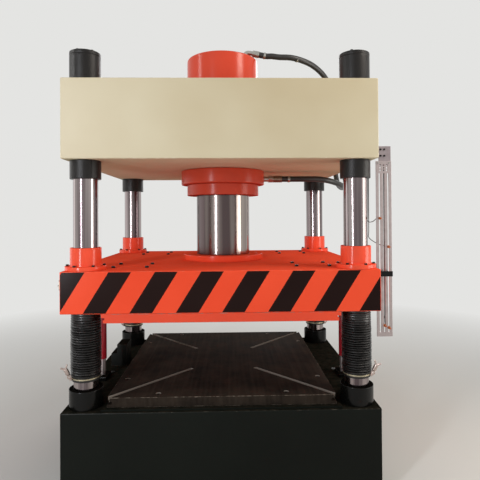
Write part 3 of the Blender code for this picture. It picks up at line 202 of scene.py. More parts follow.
def machine_enamel(name, colour, shade, dust, roughness=0.22, dustiness=0.3, peel=0.02,
                   edge_wear_and_highlight=None, box=None, reach=0.008, gloss=0.5):
    """Sprayed alkyd enamel: an even coat whose tone drifts a little from panel to panel, a faint
    orange peel of about 3 mm, shop dust that settles on whatever faces up, and another colour along
    the edges of a box: bare where the coat is rubbed through, and on some coats a paler tone of the
    coat, a painted edge highlight. Level faces have lost their gloss to dust above and oil mist
    below."""
    material, tree, shader, place = finish_of(name, roughness, 0.0, gloss)
    tone = patches(tree, place, 1.3, 3.0, 0.3, 0.7)
    coat = node(tree, "Mix", {"data_type": "RGBA", 6: linear(colour), 7: linear(shade)}, {0: tone})
    if edge_wear_and_highlight:
        edge_band = worn_and_lit_edges(tree, place, *box, reach)
        coat = node(tree, "Mix", {"data_type": "RGBA", 7: linear(edge_wear_and_highlight)}, {0: edge_band, 6: (coat, 2)})
    faces = node(tree, "NewGeometry")
    upward = node(tree, "SeparateXYZ", (), {"Vector": (faces, "Normal")})
    flat = node(tree, "MapRange", {"From Min": 0.5, "From Max": 0.95}, {"Value": (upward, "Z")})
    specks = patches(tree, place, 22.0, 6.0, 0.35, 0.75, dustiness, 0.7)
    settled = node(tree, "Math", {"operation": "MULTIPLY"}, {0: flat, 1: specks})
    dusted = node(tree, "Mix", {"data_type": "RGBA", 7: linear(dust)}, {0: settled, 6: (coat, 2)})
    slant = node(tree, "Math", {"operation": "ABSOLUTE"}, {0: (upward, "Z")})
    level = node(tree, "MapRange", {"From Min": 0.5, "From Max": 0.95}, {"Value": slant})
    shine = node(tree, "MapRange", {"To Min": gloss, "To Max": 0.0}, {"Value": level})
    dulled = node(tree, "Math", {"operation": "MULTIPLY_ADD", 1: 0.6}, {0: level, 2: settled})
    blur = node(tree, "MapRange", {"To Min": roughness, "To Max": roughness + 0.5},
                {"Value": dulled})
    skin = node(tree, "TexNoise", {"Scale": 330.0, "Detail": 1.0}, {"Vector": place})
    relief = node(tree, "Bump", {"Strength": peel, "Distance": 0.001}, {"Height": skin})
    connect(tree, shader, {"Base Color": (dusted, 2), "Roughness": blur,
                           "Specular IOR Level": shine, "Normal": relief})
    return material


def box_of(name):
    """A CAD node's lowest and highest corner."""
    return [Vector(corner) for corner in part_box(name)]


def repaint(name, finish):
    """A CAD node whose shape is right gets its real finish."""
    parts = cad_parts[name].data.materials
    parts.clear()
    parts.append(finish)


bed_low, bed_high = box_of("bed")
bed_top, pad_height = 0.545, 0.010
# The bed's old coat is dull: nearly black with a breath of green, thick with brown dust on top,
# and grey along the edges of the box.
bed_enamel = machine_enamel("dark_green_black_bed_enamel", "#131713", "#0D100D", "#38322A",
                            roughness=0.4, dustiness=0.6, peel=0.04, edge_wear_and_highlight="#4A463F",
                            box=(bed_low, bed_high - Vector((0, 0, pad_height))), reach=0.005,
                            gloss=0.12)
repaint("bed", bed_enamel)


# The bolster is a thick plate of plain carbon steel, milled on top, with T-slots from its four
# corners for clamping bolts. Eight socket head screws in sunk holes hold it on the bed.
bolster_low, bolster_high = box_of("bolster")

# Milled steel under years of oil is a matt brown-black with stains of about 200 mm. The passes
# of the cutter are drawn 25 mm wide, as the true feed marks are too fine to show. Bolts have
# rubbed the edges and the walls of the slots pale.
milled_bolster_steel, tree, shader, place = finish_of("milled_bolster_steel", 0.6, 0.15, 0.0)
stain = node(tree, "TexNoise", {"Scale": 5.0, "Detail": 8.0, "Roughness": 0.65}, {"Vector": place})
stained = node(tree, "MapRange", {"From Min": 0.35, "From Max": 0.7}, {"Value": stain})
tone = node(tree, "Mix", {"data_type": "RGBA", 6: linear("#201C19"), 7: linear("#3A322B")},
            {0: stained})
passes = node(tree, "Mapping", {"Scale": (14.0, 0.5, 1.0)}, {"Vector": place})
marked = patches(tree, passes, 3.0, 4.0, 0.4, 0.7, 0.15)
tone = node(tree, "Mix", {"data_type": "RGBA", 7: linear("#5A5048")}, {0: marked, 6: (tone, 2)})
edge_band = worn_and_lit_edges(tree, place, bolster_low, bolster_high, 0.006)
tone = node(tree, "Mix", {"data_type": "RGBA", 7: linear("#6E665C")}, {0: edge_band, 6: (tone, 2)})
inward = node(tree, "VectorMath", {"operation": "ABSOLUTE"}, {0: place})
inward = node(tree, "SeparateXYZ", (), {0: inward})
rim = 0.004
inside = [node(tree, "Math", {"operation": "LESS_THAN", 1: edge - rim}, {0: (inward, axis)})
          for axis, edge in zip("XY", bolster_high)]
faces = node(tree, "NewGeometry")
upright = node(tree, "SeparateXYZ", (), {"Vector": (faces, "Normal")})
wall = node(tree, "Math", {"operation": "ABSOLUTE"}, {0: (upright, "Z")})
wall = node(tree, "Math", {"operation": "LESS_THAN", 1: 0.3}, {0: wall})
for mask in inside:
    wall = node(tree, "Math", {"operation": "MULTIPLY"}, {0: wall, 1: mask})
tone = node(tree, "Mix", {"data_type": "RGBA", 7: linear("#8F877E")}, {0: wall, 6: (tone, 2)})
rough = node(tree, "MapRange", {"To Min": 0.5, "To Max": 0.8}, {"Value": stain})
connect(tree, shader, {"Base Color": (tone, 2), "Roughness": rough})
repaint("bolster", milled_bolster_steel)


def broken_corners(profile, edge, closed):
    """A profile with its corners rounded off."""
    outline = []
    nearly_straight = 2.7
    for index, point in enumerate(profile):
        ends = not closed and index in (0, len(profile) - 1)
        if not edge or ends or len(point) > 2:
            outline.append(point)
            continue
        corner = Vector(point)
        arms = [Vector(profile[i][:2]) - corner for i in (index - 1, (index + 1) % len(profile))]
        if arms[0].angle(arms[1]) > nearly_straight:
            outline.append(point)
            continue
        start, end = [corner + arm.normalized() * min(edge, arm.length * 0.45) for arm in arms]
        for step in range(5):
            t = step / 4
            outline.append(start * (1 - t) ** 2 + corner * 2 * t * (1 - t) + end * t ** 2)
    return outline


def lathe(profile, edge=0.001, rounds=96, gap=0):
    """A profile of (radius, height) turned about the upright axis, with its corners broken by
    edge. A third number makes that ring a polygon, and a gap leaves a saw cut at the front."""
    closed = all(point[0] > 0 for point in profile)
    shape = bmesh.new()
    turns = [gap / 2 - math.pi / 2 + (2 * math.pi - gap) * step / rounds
             for step in range(rounds + bool(gap))]
    rings = []
    for radius, height, *sides in broken_corners(profile, edge, closed):
        ring = []
        for turn in turns if radius else turns[:1]:
            reach = radius
            if sides:
                sector = 2 * math.pi / sides[0]
                reach *= math.cos(sector / 2) / math.cos(turn % sector - sector / 2)
            ring.append(shape.verts.new((reach * math.cos(turn), reach * math.sin(turn), height)))
        rings.append(ring)
    pairs = list(zip(rings, rings[1:] + rings[:1]))
    for upper, lower in pairs if closed else pairs[:-1]:
        for i in range(rounds):
            j = (i + 1) % len(turns)
            corners = (upper[i % len(upper)], upper[j % len(upper)],
                       lower[j % len(lower)], lower[i % len(lower)])
            shape.faces.new(dict.fromkeys(corners))
    if gap:
        for side in (0, -1):
            shape.faces.new([ring[side] for ring in rings])
    return shape


def round_bar(radius, low, high, edge=0.001, rounds=96, bore=0, gap=0):
    """A plain turned bar between two levels, or a ring where it has a bore."""
    return lathe([(bore, high), (radius, high), (radius, low), (bore, low)], edge, rounds, gap)


def moved(shape, spot):
    """A shape carried into another frame."""
    bmesh.ops.transform(shape, matrix=spot, verts=shape.verts)
    return shape


def copies(pattern, frames):
    """One shape with a copy of the pattern in each frame."""
    single = bpy.data.meshes.new("pattern")
    pattern.to_mesh(single)
    pattern.free()
    together = bmesh.new()
    for spot in frames:
        other = single.copy()
        other.transform(spot)
        together.from_mesh(other)
    return together


def turned(degrees, axis):
    """A turn about one of the scene's axes."""
    return Matrix.Rotation(math.radians(degrees), 4, axis)


def standing(places, way_up=Matrix()):
    """A frame at each place, turned this way."""
    return [Matrix.Translation(spot) @ way_up for spot in places]


def piece(name, shape, finish, body, stands_for=(), at=(0, 0, 0)):
    """Makes a shape a piece of its own in its finish, on its body, in place of CAD nodes."""
    bmesh.ops.recalc_face_normals(shape, faces=shape.faces)
    mesh = bpy.data.meshes.new(name)
    shape.to_mesh(mesh)
    shape.free()
    mesh.transform(Matrix.Translation(at))
    mesh.shade_smooth()
    mesh.set_sharp_from_angle(angle=math.radians(40))
    mesh.materials.append(finish)
    made = in_scene(name, mesh)
    made.modifiers.new("even_shading", "WEIGHTED_NORMAL").keep_sharp = True
    if body:
        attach(made, body)
    if stands_for:
        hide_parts(*stands_for)
    return made


def mottled(name, bright, dull, smooth, edge_band, metallic=1.0, gloss=0.5, scale=60.0, detail=4.0,
            grain=0.5, height=0.0):
    """A finish whose colour and gloss drift over patches of about 1 / scale metres. Given a
    height, the patches stand up by it."""
    material, tree, shader, place = finish_of(name, smooth, metallic, gloss)
    bloom = node(tree, "TexNoise", {"Scale": scale, "Detail": detail, "Roughness": grain},
                 {"Vector": place})
    tone = node(tree, "Mix", {"data_type": "RGBA", 6: linear(bright), 7: linear(dull)}, {0: bloom})
    rough = node(tree, "MapRange", {"To Min": smooth, "To Max": edge_band}, {"Value": bloom})
    connect(tree, shader, {"Base Color": (tone, 2), "Roughness": rough})
    if height:
        relief = node(tree, "Bump", {"Strength": 0.7, "Distance": height}, {"Height": bloom})
        connect(tree, shader, {"Normal": relief})
    return material


# Steel blackened in hot salts is a satin, slightly metallic black that wears to brown in specks
# of about 7 mm.
black_oxide = mottled("black_oxide_screws", "#121110", "#2A2725", 0.42, 0.42, metallic=0.5,
                      gloss=0.3, scale=140.0, detail=3.0)


def cap_screws(name, body, radius, height, frames, carried=Matrix()):
    """Black socket head cap screws of one size, each standing in its frame on its head's
    underside. All of them are then carried into another frame."""
    key, floor_of_key = radius * 0.62, height * 0.45
    screw = lathe([(0, floor_of_key), (key, floor_of_key, 6), (key, height, 6),
                   (radius, height), (radius, 0), (0, 0)], radius * 0.12, 24)
    return piece(name, moved(copies(screw, frames), carried), black_oxide, body)


screw_depth = 0.0218
sunk = [(x, y) for x in (-0.65, 0.65) for y in (-0.43, 0.43)]
sunk += [(x, y) for x in (-0.40, 0.40) for y in (-0.69, 0.69)]
cap_screws("bolster_screws", "frame", 0.0155, 0.016,
           standing([(x, y, bolster_high.z - screw_depth) for x, y in sunk]))

# Two tapped holes in the bed's side strips take the lifting eyes. A screwed plug closes each.
cap_screws("lifting_plugs", "frame", 0.0165, 0.004,
           standing([(side * 0.84, -0.09, bed_top + 0.0002) for side in (-1, 1)]))


# The four columns are forged steel, ground round and hard chromed, so they mirror the shop in
# upright streaks. Fine rings from the grinding wheel and a film of oil blur the mirror. Light and
# dark upright bands in their colour are partly that oil film and partly painted reflections.
def hard_chrome(name, tint, darker, across, shift):
    """Ground hard chrome under an oil film that is wiped up and down, in streaks this wide. The
    streaks' light and dark colour is also a painted reflection of the shop, and the shift carries
    them round to where those reflections fall. The grinding rings are drawn about 1 mm apart,
    coarser than they are, and so faint that they only soften the reflections."""
    material, tree, shader, place = finish_of(name, 0.12, 1.0)
    upright = node(tree, "Mapping",
                   {"Location": (shift, 0, 0), "Scale": (1 / across, 1 / across, 0.3)},
                   {"Vector": place})
    oil_and_reflection_streak = patches(tree, upright, 1.0, 3.0, 0.38, 0.62)
    tone = node(tree, "Mix", {"data_type": "RGBA", 6: linear(tint), 7: linear(darker)}, {0: oil_and_reflection_streak})
    blur = node(tree, "MapRange", {"To Min": 0.08, "To Max": 0.2}, {"Value": oil_and_reflection_streak})
    around = node(tree, "Mapping", {"Scale": (4.0, 4.0, 900.0)}, {"Vector": place})
    rings = node(tree, "TexNoise", {"Scale": 1.0, "Detail": 2.0}, {"Vector": around})
    relief = node(tree, "Bump", {"Strength": 0.01, "Distance": 0.0005}, {"Height": rings})
    connect(tree, shader, {"Base Color": (tone, 2), "Roughness": blur, "Normal": relief})
    return material


def node_place(name):
    """A CAD node's middle in plan, and its lowest and highest level."""
    low, high = box_of(name)
    return ((low.x + high.x) / 2, (low.y + high.y) / 2, 0), low.z, high.z


column_x, column_radius = 0.85, 0.075
corners = [f"{row}_{side}" for row in ("front", "back") for side in ("left", "right")]
# The columns' darker tint and their shift lay the painted reflection bands.
column_chrome = hard_chrome("hard_chromed_columns", "#B0A5A4", "#625659", 0.045, 2.0)
for corner in corners:
    at, foot, top = node_place(f"column_{corner}")
    piece(f"chromed_column_{corner}", round_bar(column_radius, foot, top, 0.006), column_chrome,
          "frame", [f"column_{corner}"], at)


# A round steel nut on each column seats on the bed. It is turned and sprayed gloss black, and
# a ring of small holes round its top edge takes the pin spanner.
def cut(shape, tool):
    """A shape with the tool's solids taken out of it."""
    sides = []
    for form in (shape, tool):
        bmesh.ops.recalc_face_normals(form, faces=form.faces)
        sides.append(in_scene("blank", bpy.data.meshes.new("blank")))
        form.to_mesh(sides[-1].data)
        form.free()
    change = sides[0].modifiers.new("cut", "BOOLEAN")
    change.object, change.operation, change.solver = sides[1], "DIFFERENCE", "EXACT"
    result = bmesh.new()
    result.from_mesh(sides[0].evaluated_get(bpy.context.evaluated_depsgraph_get()).to_mesh())
    for side in sides:
        bpy.data.objects.remove(side)
    return result


def ring_of(count, radius, height, first=0):
    """Frames spaced round the upright axis at one height."""
    turns = [math.radians(first) + 2 * math.pi * step / count for step in range(count)]
    return standing([(radius * math.cos(turn), radius * math.sin(turn), height)
                     for turn in turns])


def drill(radius, rounds=16, length=0.05):
    """A plain round tool that stands on its end."""
    return round_bar(radius, 0, length, 0, rounds)


# A hard gloss black whose thin orange peel breaks up its small highlights.
black_enamel = machine_enamel("black_nut_enamel", "#0C0C0B", "#080807", "#322C26",
                              dustiness=0.25, peel=0.05, gloss=0.22)
nut_bore, bed_nut_radius, pin_circle, pin_depth = 0.0755, 0.102, 0.0866, 0.008
for corner in corners:
    at, low, high = node_place(f"bed_nut_{corner}")
    nut = cut(round_bar(bed_nut_radius, low, high, 0.004, bore=nut_bore),
              copies(drill(0.0035), ring_of(6, pin_circle, high - pin_depth, 12)))
    piece(f"turned_bed_nut_{corner}", nut, black_enamel, "frame", [f"bed_nut_{corner}"], at)


# Pleated covers keep grit off the columns under the slide. They are sewn from rubberised cloth
# over wire rings and hang from the guide bushes. A clamp with a wing bolt holds each lower cuff.

# Rubberised cloth is black with a soft gloss, and brown where dust clings. Its weave is drawn
# 1.4 mm wide, coarser than it is, as its threads are too fine to show.
bellows_cloth, tree, shader, place = finish_of("rubberised_bellows_cloth", 0.3, 0.0, 0.5)
dust = node(tree, "TexNoise", {"Scale": 40.0, "Detail": 6.0, "Roughness": 0.7}, {"Vector": place})
dusty = node(tree, "MapRange", {"From Min": 0.45, "From Max": 0.8, "To Max": 0.7}, {"Value": dust})
tone = node(tree, "Mix", {"data_type": "RGBA", 6: linear("#080606"), 7: linear("#1B1613")},
            {0: dusty})
rough = node(tree, "MapRange",
             {"From Min": 0.3, "From Max": 0.7, "To Min": 0.16, "To Max": 0.6},
             {"Value": dust})
weave = node(tree, "TexNoise", {"Scale": 700.0, "Detail": 1.0}, {"Vector": place})
relief = node(tree, "Bump", {"Strength": 0.2, "Distance": 0.0008}, {"Height": weave})
connect(tree, shader, {"Base Color": (tone, 2), "Roughness": rough, "Normal": relief})


def bar(low, high, edge=0.001):
    """A straight block between two corners, with its edges broken."""
    low, high = Vector(low), Vector(high)
    shape = bmesh.new()
    bmesh.ops.create_cube(shape, size=1)
    moved(shape, Matrix.Translation((low + high) / 2) @ Matrix.Diagonal((*(high - low), 1)))
    bmesh.ops.bevel(shape, geom=shape.edges[:], offset=edge, segments=2, profile=0.5,
                    affect="EDGES")
    return shape


def joined(*shapes):
    """Several solids as one shape."""
    whole = bmesh.new()
    for shape in shapes:
        carrier = bpy.data.meshes.new("part")
        shape.to_mesh(carrier)
        shape.free()
        whole.from_mesh(carrier)
    return whole


# Zinc plate is a bright grey metal that blooms dull in patches of about 15 mm. The bands have
# yellowed to cream, and the wing bolts have a pinkish chromate over theirs.
zinc_plate = mottled("zinc_plated_fittings", "#C9C8C2", "#8E8C86", 0.18, 0.45)
cream_zinc = mottled("cream_zinc_bands", "#C8BFA4", "#978C74", 0.3, 0.5)
pink_zinc = mottled("pinkish_zinc_wing_bolts", "#D6C4BC", "#A08E86", 0.25, 0.5, metallic=0.8)

pleats, first_taut = 27, 17
cuff_height, collar_height = 0.026, 0.006
collar_radius, waist_radius, crest_radius = 0.098, 0.0845, 0.0932
cuff_bore, pleat_bore = 0.0757, 0.0785
forward = turned(90, "X")
draw = random.Random(7)
for corner in corners:
    at, low, high = node_place(f"bellows_{corner}")
    cuff, collar = low + cuff_height, high - collar_height
    pitch = (collar - cuff) / pleats
    outline = [(collar_radius, high), (collar_radius, collar)]
    for pleat in reversed(range(pleats)):
        taut = max(0, (pleat - first_taut) / 9)
        crest = crest_radius - 0.0016 * draw.random() - 0.0028 * taut
        waist = waist_radius + 0.0030 * taut
        middle = cuff + (pleat + 0.5 + 0.2 * (draw.random() - 0.5)) * pitch
        outline += [(waist, cuff + (pleat + 1) * pitch), (crest, middle + 0.13 * pitch),
                    (crest, middle - 0.13 * pitch)]
    outline += [(waist_radius, cuff), (waist_radius, low), (cuff_bore, low), (cuff_bore, cuff),
                (pleat_bore, cuff), (pleat_bore, high)]
    sleeve = lathe(outline, 0, 64)
    for vert in sleeve.verts:
        x, y, z = vert.co
        if vert.co.xy.length > 0.08 and cuff + 0.004 < z < high - 0.010:
            crease = noise.noise(Vector((x * 22 + at[0] * 9, y * 22 + at[1] * 7, z * 34)))
            vert.co.z += 0.0028 * crease
            vert.co.xy *= 1 - 0.016 * abs(crease)
    cover = piece(f"pleated_cover_{corner}", sleeve, bellows_cloth, None,
                  [f"bellows_{corner}"], at)
    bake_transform(cover)

    # The clamp is a band with a worm drive in a housing. An eye on it takes the wing bolt. The
    # node is lopsided, so the clamp is centred on its column.
    at, low, high = node_place(f"bellows_clamp_{corner}")
    side = math.copysign(1, at[0])
    at = (side * column_x, at[1], 0)
    level = (low + high) / 2
    band = round_bar(0.0868, high - 0.008, high, 0.0005, bore=0.0848)
    housing = bar((0.0858, -0.016, low - 0.001), (0.1000, 0.016, high + 0.001), 0.002)
    worm = moved(lathe([(0, 0.048), (0.0055, 0.048), (0.0055, 0.008), (0.0070, 0.008),
                        (0.0070, 0), (0, 0)], 0.0006, 24),
                 Matrix.Translation((0.0945, 0.022, level)) @ forward)
    eye = moved(round_bar(0.0135, 0, 0.008, 0.0015, 32, 0.0050),
                Matrix.Translation((0.1010, -0.010, level + 0.016)) @ forward)
    shank = lathe([(0, 0.046), (0.0110, 0.046), (0.0130, 0.040), (0.0130, 0.010), (0.0080, 0),
                   (0, 0)], 0.001, 32)
    ears = [moved(bar((-0.0045, -0.0095, 0), (0.0045, 0.0095, 0.032), 0.003),
                  Matrix.Translation((0, 0, 0.042)) @ turned(lean, "Y"))
            for lean in (-42, 42)]
    wing_bolt = moved(joined(shank, *ears),
                      Matrix.Translation((0.1035, -0.014, level + 0.026)) @ turned(26, "Y"))
    screw = moved(joined(housing, worm, eye, wing_bolt), turned(-24, "Z"))
    if side < 0:
        moved(screw, Matrix.Scale(-1, 4, (1, 0, 0)))
    piece(f"hose_clamp_{corner}", band, cream_zinc, "frame", [f"bellows_clamp_{corner}"], at)
    piece(f"clamp_wing_bolt_{corner}", screw, pink_zinc, "frame", (), at)


# Beside the bolster a turned rod on a black foot runs in a crimson tube under the slide. The
# posts stop the slide before its packings meet. A stepped packing block lies on the left.

# Turned mild steel is a pale, warm grey metal with a soft, spread highlight.
grey_steel = mottled("bright_turned_steel", "#CBBDBB", "#9E9190", 0.28, 0.5, scale=30.0)
# The tube's enamel is a deep gloss red with a little pale dust where it faces up.
crimson_enamel = machine_enamel("crimson_tube_enamel", "#A81F2B", "#8C1622", "#7A5A54",
                                roughness=0.2, dustiness=0.2)
rod_radius = 0.0195
tube_bore, tube_radius, tube_collar = 0.0215, 0.0255, 0.031
for side in ("left", "right"):
    at, low, high = node_place(f"stop_rod_{side}")
    piece(f"turned_stop_rod_{side}", round_bar(rod_radius, low, high, 0.002, 48), grey_steel,
          "frame", [f"stop_rod_{side}"], at)
    at, low, high = node_place(f"stop_sleeve_{side}")
    under_collar = high - 0.014
    piece(f"crimson_stop_tube_{side}",
          lathe([(tube_collar, high), (tube_collar, under_collar), (tube_radius, under_collar),
                 (tube_radius, low), (tube_bore, low), (tube_bore, high)], 0.001, 48),
          crimson_enamel, "slide", [f"stop_sleeve_{side}"], at)
    repaint(f"stop_base_{side}", black_enamel)
    at, low, high = node_place(f"stop_base_{side}")
    cap_screws(f"stop_base_screws_{side}", "frame", 0.009, 0.009,
               standing([(at[0], at[1] + y, high) for y in (-0.055, 0.055)]))

# The block's black is rougher than the nuts', and rubbed grey along its edges by handling.
block_enamel = machine_enamel("black_block_enamel", "#121310", "#0C0D0B", "#342E28",
                              roughness=0.3, dustiness=0.4, peel=0.05, edge_wear_and_highlight="#45413B",
                              box=box_of("step_block"), reach=0.004, gloss=0.3)
repaint("step_block", block_enamel)


# The crown is a closed box welded from thick plate, filled, rubbed down and sprayed with two
# coats of cream enamel, so its seams hardly show.
crown_low, crown_high = box_of("crown")
# A gloss coat gone soft with age: a broad sheen without sharp reflections. Its paler cream
# edges are a painted edge highlight.
cream_enamel = machine_enamel("gloss_cream_enamel", "#D8CEB1", "#CBBD9C", "#9C917C",
                              roughness=0.42, dustiness=0.35, edge_wear_and_highlight="#E6E0CC",
                              box=(crown_low, crown_high), reach=0.005, gloss=0.35)
repaint("crown", cream_enamel)


# Split nuts under the crown and closed cap nuts on top of it clamp it to the columns. They are
# cast, and the black enamel follows the rough skin. Small screws lock the caps.

# Enamel on a sand casting breaks its gloss into small glints. The grains are drawn about 7 mm
# across, coarser than the moulding sand, so that they show.
cast_enamel = mottled("black_enamel_on_cast_nuts", "#0D0C0C", "#262321", 0.18, 0.5, metallic=0.0,
                      gloss=0.25, scale=150.0, detail=3.0, grain=0.6, height=0.002)

nut_radius, cap_wall, lock_circle = 0.0945, 0.020, 0.060
seam_depth, seam_drop = 0.003, 0.0235
slit_turns = {"front_left": 38, "front_right": 140, "back_left": 180, "back_right": 180}
for corner in corners:
    at, low, high = node_place(f"crown_nut_{corner}")
    nut = moved(round_bar(nut_radius, low, high, 0.004, bore=nut_bore, gap=0.03),
                turned(slit_turns[corner], "Z"))
    piece(f"split_crown_nut_{corner}", nut, cast_enamel, "frame", [f"crown_nut_{corner}"], at)
    at, low, high = node_place(f"top_nut_{corner}")
    seam = high - seam_drop
    piece(f"cast_cap_nut_{corner}",
          lathe([(0, high), (nut_radius, high), (nut_radius, seam + seam_depth),
                 (nut_radius - seam_depth, seam), (nut_radius, seam - seam_depth),
                 (nut_radius, low), (nut_bore, low), (nut_bore, high - cap_wall),
                 (0, high - cap_wall)], 0.0035),
          cast_enamel, "frame", [f"top_nut_{corner}"], at)
    cap_screws(f"cap_nut_screws_{corner}", "frame", 0.009, 0.014,
               ring_of(4, lock_circle, high - 0.0001, 60), Matrix.Translation(at))


# The cylinder is one forging, turned all over: a barrel that goes up through the crown and a
# flange under it. A ring nut holds it from above, and a gland ring closes it below.

# Gloss orange-red enamel on turned steel draws clear upright highlights. A darker copy of it,
# painted shade for the crown's shadow, covers the flange, the gland and the ring nut. The barrel
# above the crown keeps the brighter coat, and the ram's ring and the guide bushes are the
# brightest.
shaded_cylinder_enamel = machine_enamel("orange_cylinder_enamel_painted_shade", "#CF5039", "#BB4430", "#8A4433",
                                 dustiness=0.2, gloss=0.15)
orange_enamel = machine_enamel("gloss_orange_enamel", "#F95839", "#E84A2E", "#A0604F",
                               roughness=0.18, dustiness=0.2, gloss=0.3)
barrel_enamel = machine_enamel("gloss_orange_barrel_enamel", "#E65238", "#D4462D", "#A0604F",
                               roughness=0.2, dustiness=0.2, gloss=0.25)
_, low, high = node_place("cylinder_barrel")
barrel_radius, barrel_bore, end_wall = 0.273, 0.225, 0.16
flange_radius, flange_top = 0.323, low + 0.109
barrel = piece("turned_cylinder_barrel",
               lathe([(0, high), (barrel_radius, high), (barrel_radius, crown_high.z),
                      (barrel_radius, flange_top), (flange_radius, flange_top),
                      (flange_radius, low), (barrel_bore, low), (barrel_bore, high - end_wall),
                      (0, high - end_wall)], 0.012, 128),
               shaded_cylinder_enamel, "frame", ["cylinder_barrel"])
barrel.data.materials.append(barrel_enamel)
# Faces above the crown take the brighter coat, and the ones below keep the painted shade.
for face in barrel.data.polygons:
    face.material_index = int(face.center.z > crown_high.z)

_, low, high = node_place("cylinder_ring_nut")
ring_nut_bore, ring_nut_radius = 0.2735, 0.335
ring_nut = cut(round_bar(ring_nut_radius, low, high, 0.004, 128, ring_nut_bore),
               copies(drill(0.012), ring_of(6, ring_nut_radius, low + 0.020)))
piece("turned_ring_nut", ring_nut, shaded_cylinder_enamel, "frame", ["cylinder_ring_nut"])

_, low, high = node_place("cylinder_gland")
gland_radius, gland_bore, spigot_radius, packing_radius = 0.278, 0.206, 0.2247, 0.2136
gland_top, gland_lip, gland_screw_circle = low + 0.081, low + 0.012, 0.255
gland = lathe([(spigot_radius, high), (spigot_radius, gland_top), (gland_radius, gland_top),
               (gland_radius, low), (gland_bore, low), (gland_bore, gland_lip),
               (packing_radius, gland_lip), (packing_radius, high)], 0.004, 128)
gland = cut(gland, copies(drill(0.0125), ring_of(16, gland_screw_circle, low - 0.036, 11)))
piece("turned_gland_ring", gland, shaded_cylinder_enamel, "frame", ["cylinder_gland"])
hanging = turned(180, "X")
cap_screws("gland_screws", "frame", 0.0105, 0.0125,
           [spot @ hanging for spot in ring_of(16, gland_screw_circle, low + 0.0138, 11)])
repaint("gland_bush", grey_steel)
repaint("gland_seal", bellows_cloth)


# The ram is a hard chromed plunger in one piece with its piston. Its foot stands on the slide
# under a two-part ring with a circle of sunk screws.
# The ram's darker tint and its shift lay its painted reflection bands.
ram_chrome = hard_chrome("hard_chromed_ram", "#A89D96", "#5A4E4E", 0.130, 2.6)
_, low, high = node_place("ram")
piston_radius, groove_radius, ram_radius, ram_foot_radius = 0.2247, 0.2147, 0.205, 0.235
groove_top, groove_bottom = high - 0.063, high - 0.097
under_piston, foot_top = high - 0.160, low + 0.020
piece("chromed_ram",
      lathe([(0, high), (piston_radius, high), (piston_radius, groove_top),
             (groove_radius, groove_top), (groove_radius, groove_bottom),
             (piston_radius, groove_bottom), (piston_radius, under_piston),
             (ram_radius, under_piston), (ram_radius, foot_top), (ram_foot_radius, foot_top),
             (ram_foot_radius, low), (0, low)], 0.0015, 128),
      ram_chrome, "slide", ["ram"])
repaint("piston_seal", bellows_cloth)

seat_gap = 0.0003
_, low, high = node_place("ram_ring")
ring_radius, ring_screw_circle, half_joint = 0.303, 0.268, 0.0012
ring_bore, foot_bore, rebate = ram_radius + seat_gap, ram_foot_radius + seat_gap, low + 0.0203
foot_ring = lathe([(ring_bore, high), (ring_radius, high), (ring_radius, low), (foot_bore, low),
                   (foot_bore, rebate), (ring_bore, rebate)], 0.004, 128)
foot_ring = cut(foot_ring, joined(
    copies(drill(0.0145, 24), ring_of(12, ring_screw_circle, high - 0.014, 15)),
    bar((-0.4, -half_joint, low - 0.01), (0.4, half_joint, high + 0.01), 0)))
piece("ram_foot_ring", foot_ring, orange_enamel, "slide", ["ram_ring"])
cap_screws("ram_ring_screws", "slide", 0.012, 0.0125,
           ring_of(12, ring_screw_circle, high - 0.0138, 15))


# The slide is a welded box in the orange enamel, with slanted black warning stripes masked and
# sprayed on its front. Sixteen cap screws sit in its tapped holes on top, and the plate under it
# takes the pressing tool.

# The slide's coat is the freshest: an even orange-red with little shine, paler along its edges.
# The plate's is darker, and bare steel shows at its edges. The black of the stripes has hardly
# any shine.
slide_low, slide_high = box_of("slide")
slide_enamel = machine_enamel("gloss_orange_slide_enamel", "#FB5838", "#EE4C2E", "#B5766A",
                              roughness=0.2, dustiness=0.22, edge_wear_and_highlight="#F4785C",
                              box=(slide_low, slide_high), reach=0.005, gloss=0.1)
repaint("slide", slide_enamel)
plate_enamel = machine_enamel("orange_plate_enamel", "#EE5030", "#DC442A", "#8A4433",
                              roughness=0.25, dustiness=0.2, edge_wear_and_highlight="#8F8078",
                              box=box_of("die_plate"), reach=0.004, gloss=0.35)
repaint("die_plate", plate_enamel)
stripe_enamel = machine_enamel("black_stripe_enamel", "#1E0F0D", "#241614", "#8A5040",
                               dustiness=0.2, gloss=0.08)

rounding, stripe_pitch, first_stripe = 0.004, 0.278, -0.690
face_left, face_right = slide_low.x + rounding, slide_high.x - rounding
face_low, face_high = slide_low.z + rounding, slide_high.z - rounding
# Each stripe is 136 mm wide and leans to the right by 154 mm.
stripes = bmesh.new()
for stripe in range(-1, 7):
    left = first_stripe + stripe_pitch * stripe
    outline = [(left + 0.012, face_high), (left + 0.148, face_high),
               (left - 0.006, face_low), (left - 0.142, face_low)]
    stripes.faces.new([stripes.verts.new((x, slide_low.y - seat_gap, z)) for x, z in outline])
for edge_x, beyond in ((face_left, -1), (face_right, 1)):
    every = [*stripes.verts, *stripes.edges, *stripes.faces]
    bmesh.ops.bisect_plane(stripes, geom=every, plane_co=(edge_x, 0, 0), plane_no=(beyond, 0, 0),
                           clear_outer=True)
piece("painted_stripes", stripes, stripe_enamel, "slide")
cap_screws("slide_top_screws", "slide", 0.0125, 0.011,
           standing([(x, y, slide_high.z) for x in (-0.700, -0.485, 0.485, 0.700)
                     for y in (-0.60, -0.40, 0.40, 0.60)]))

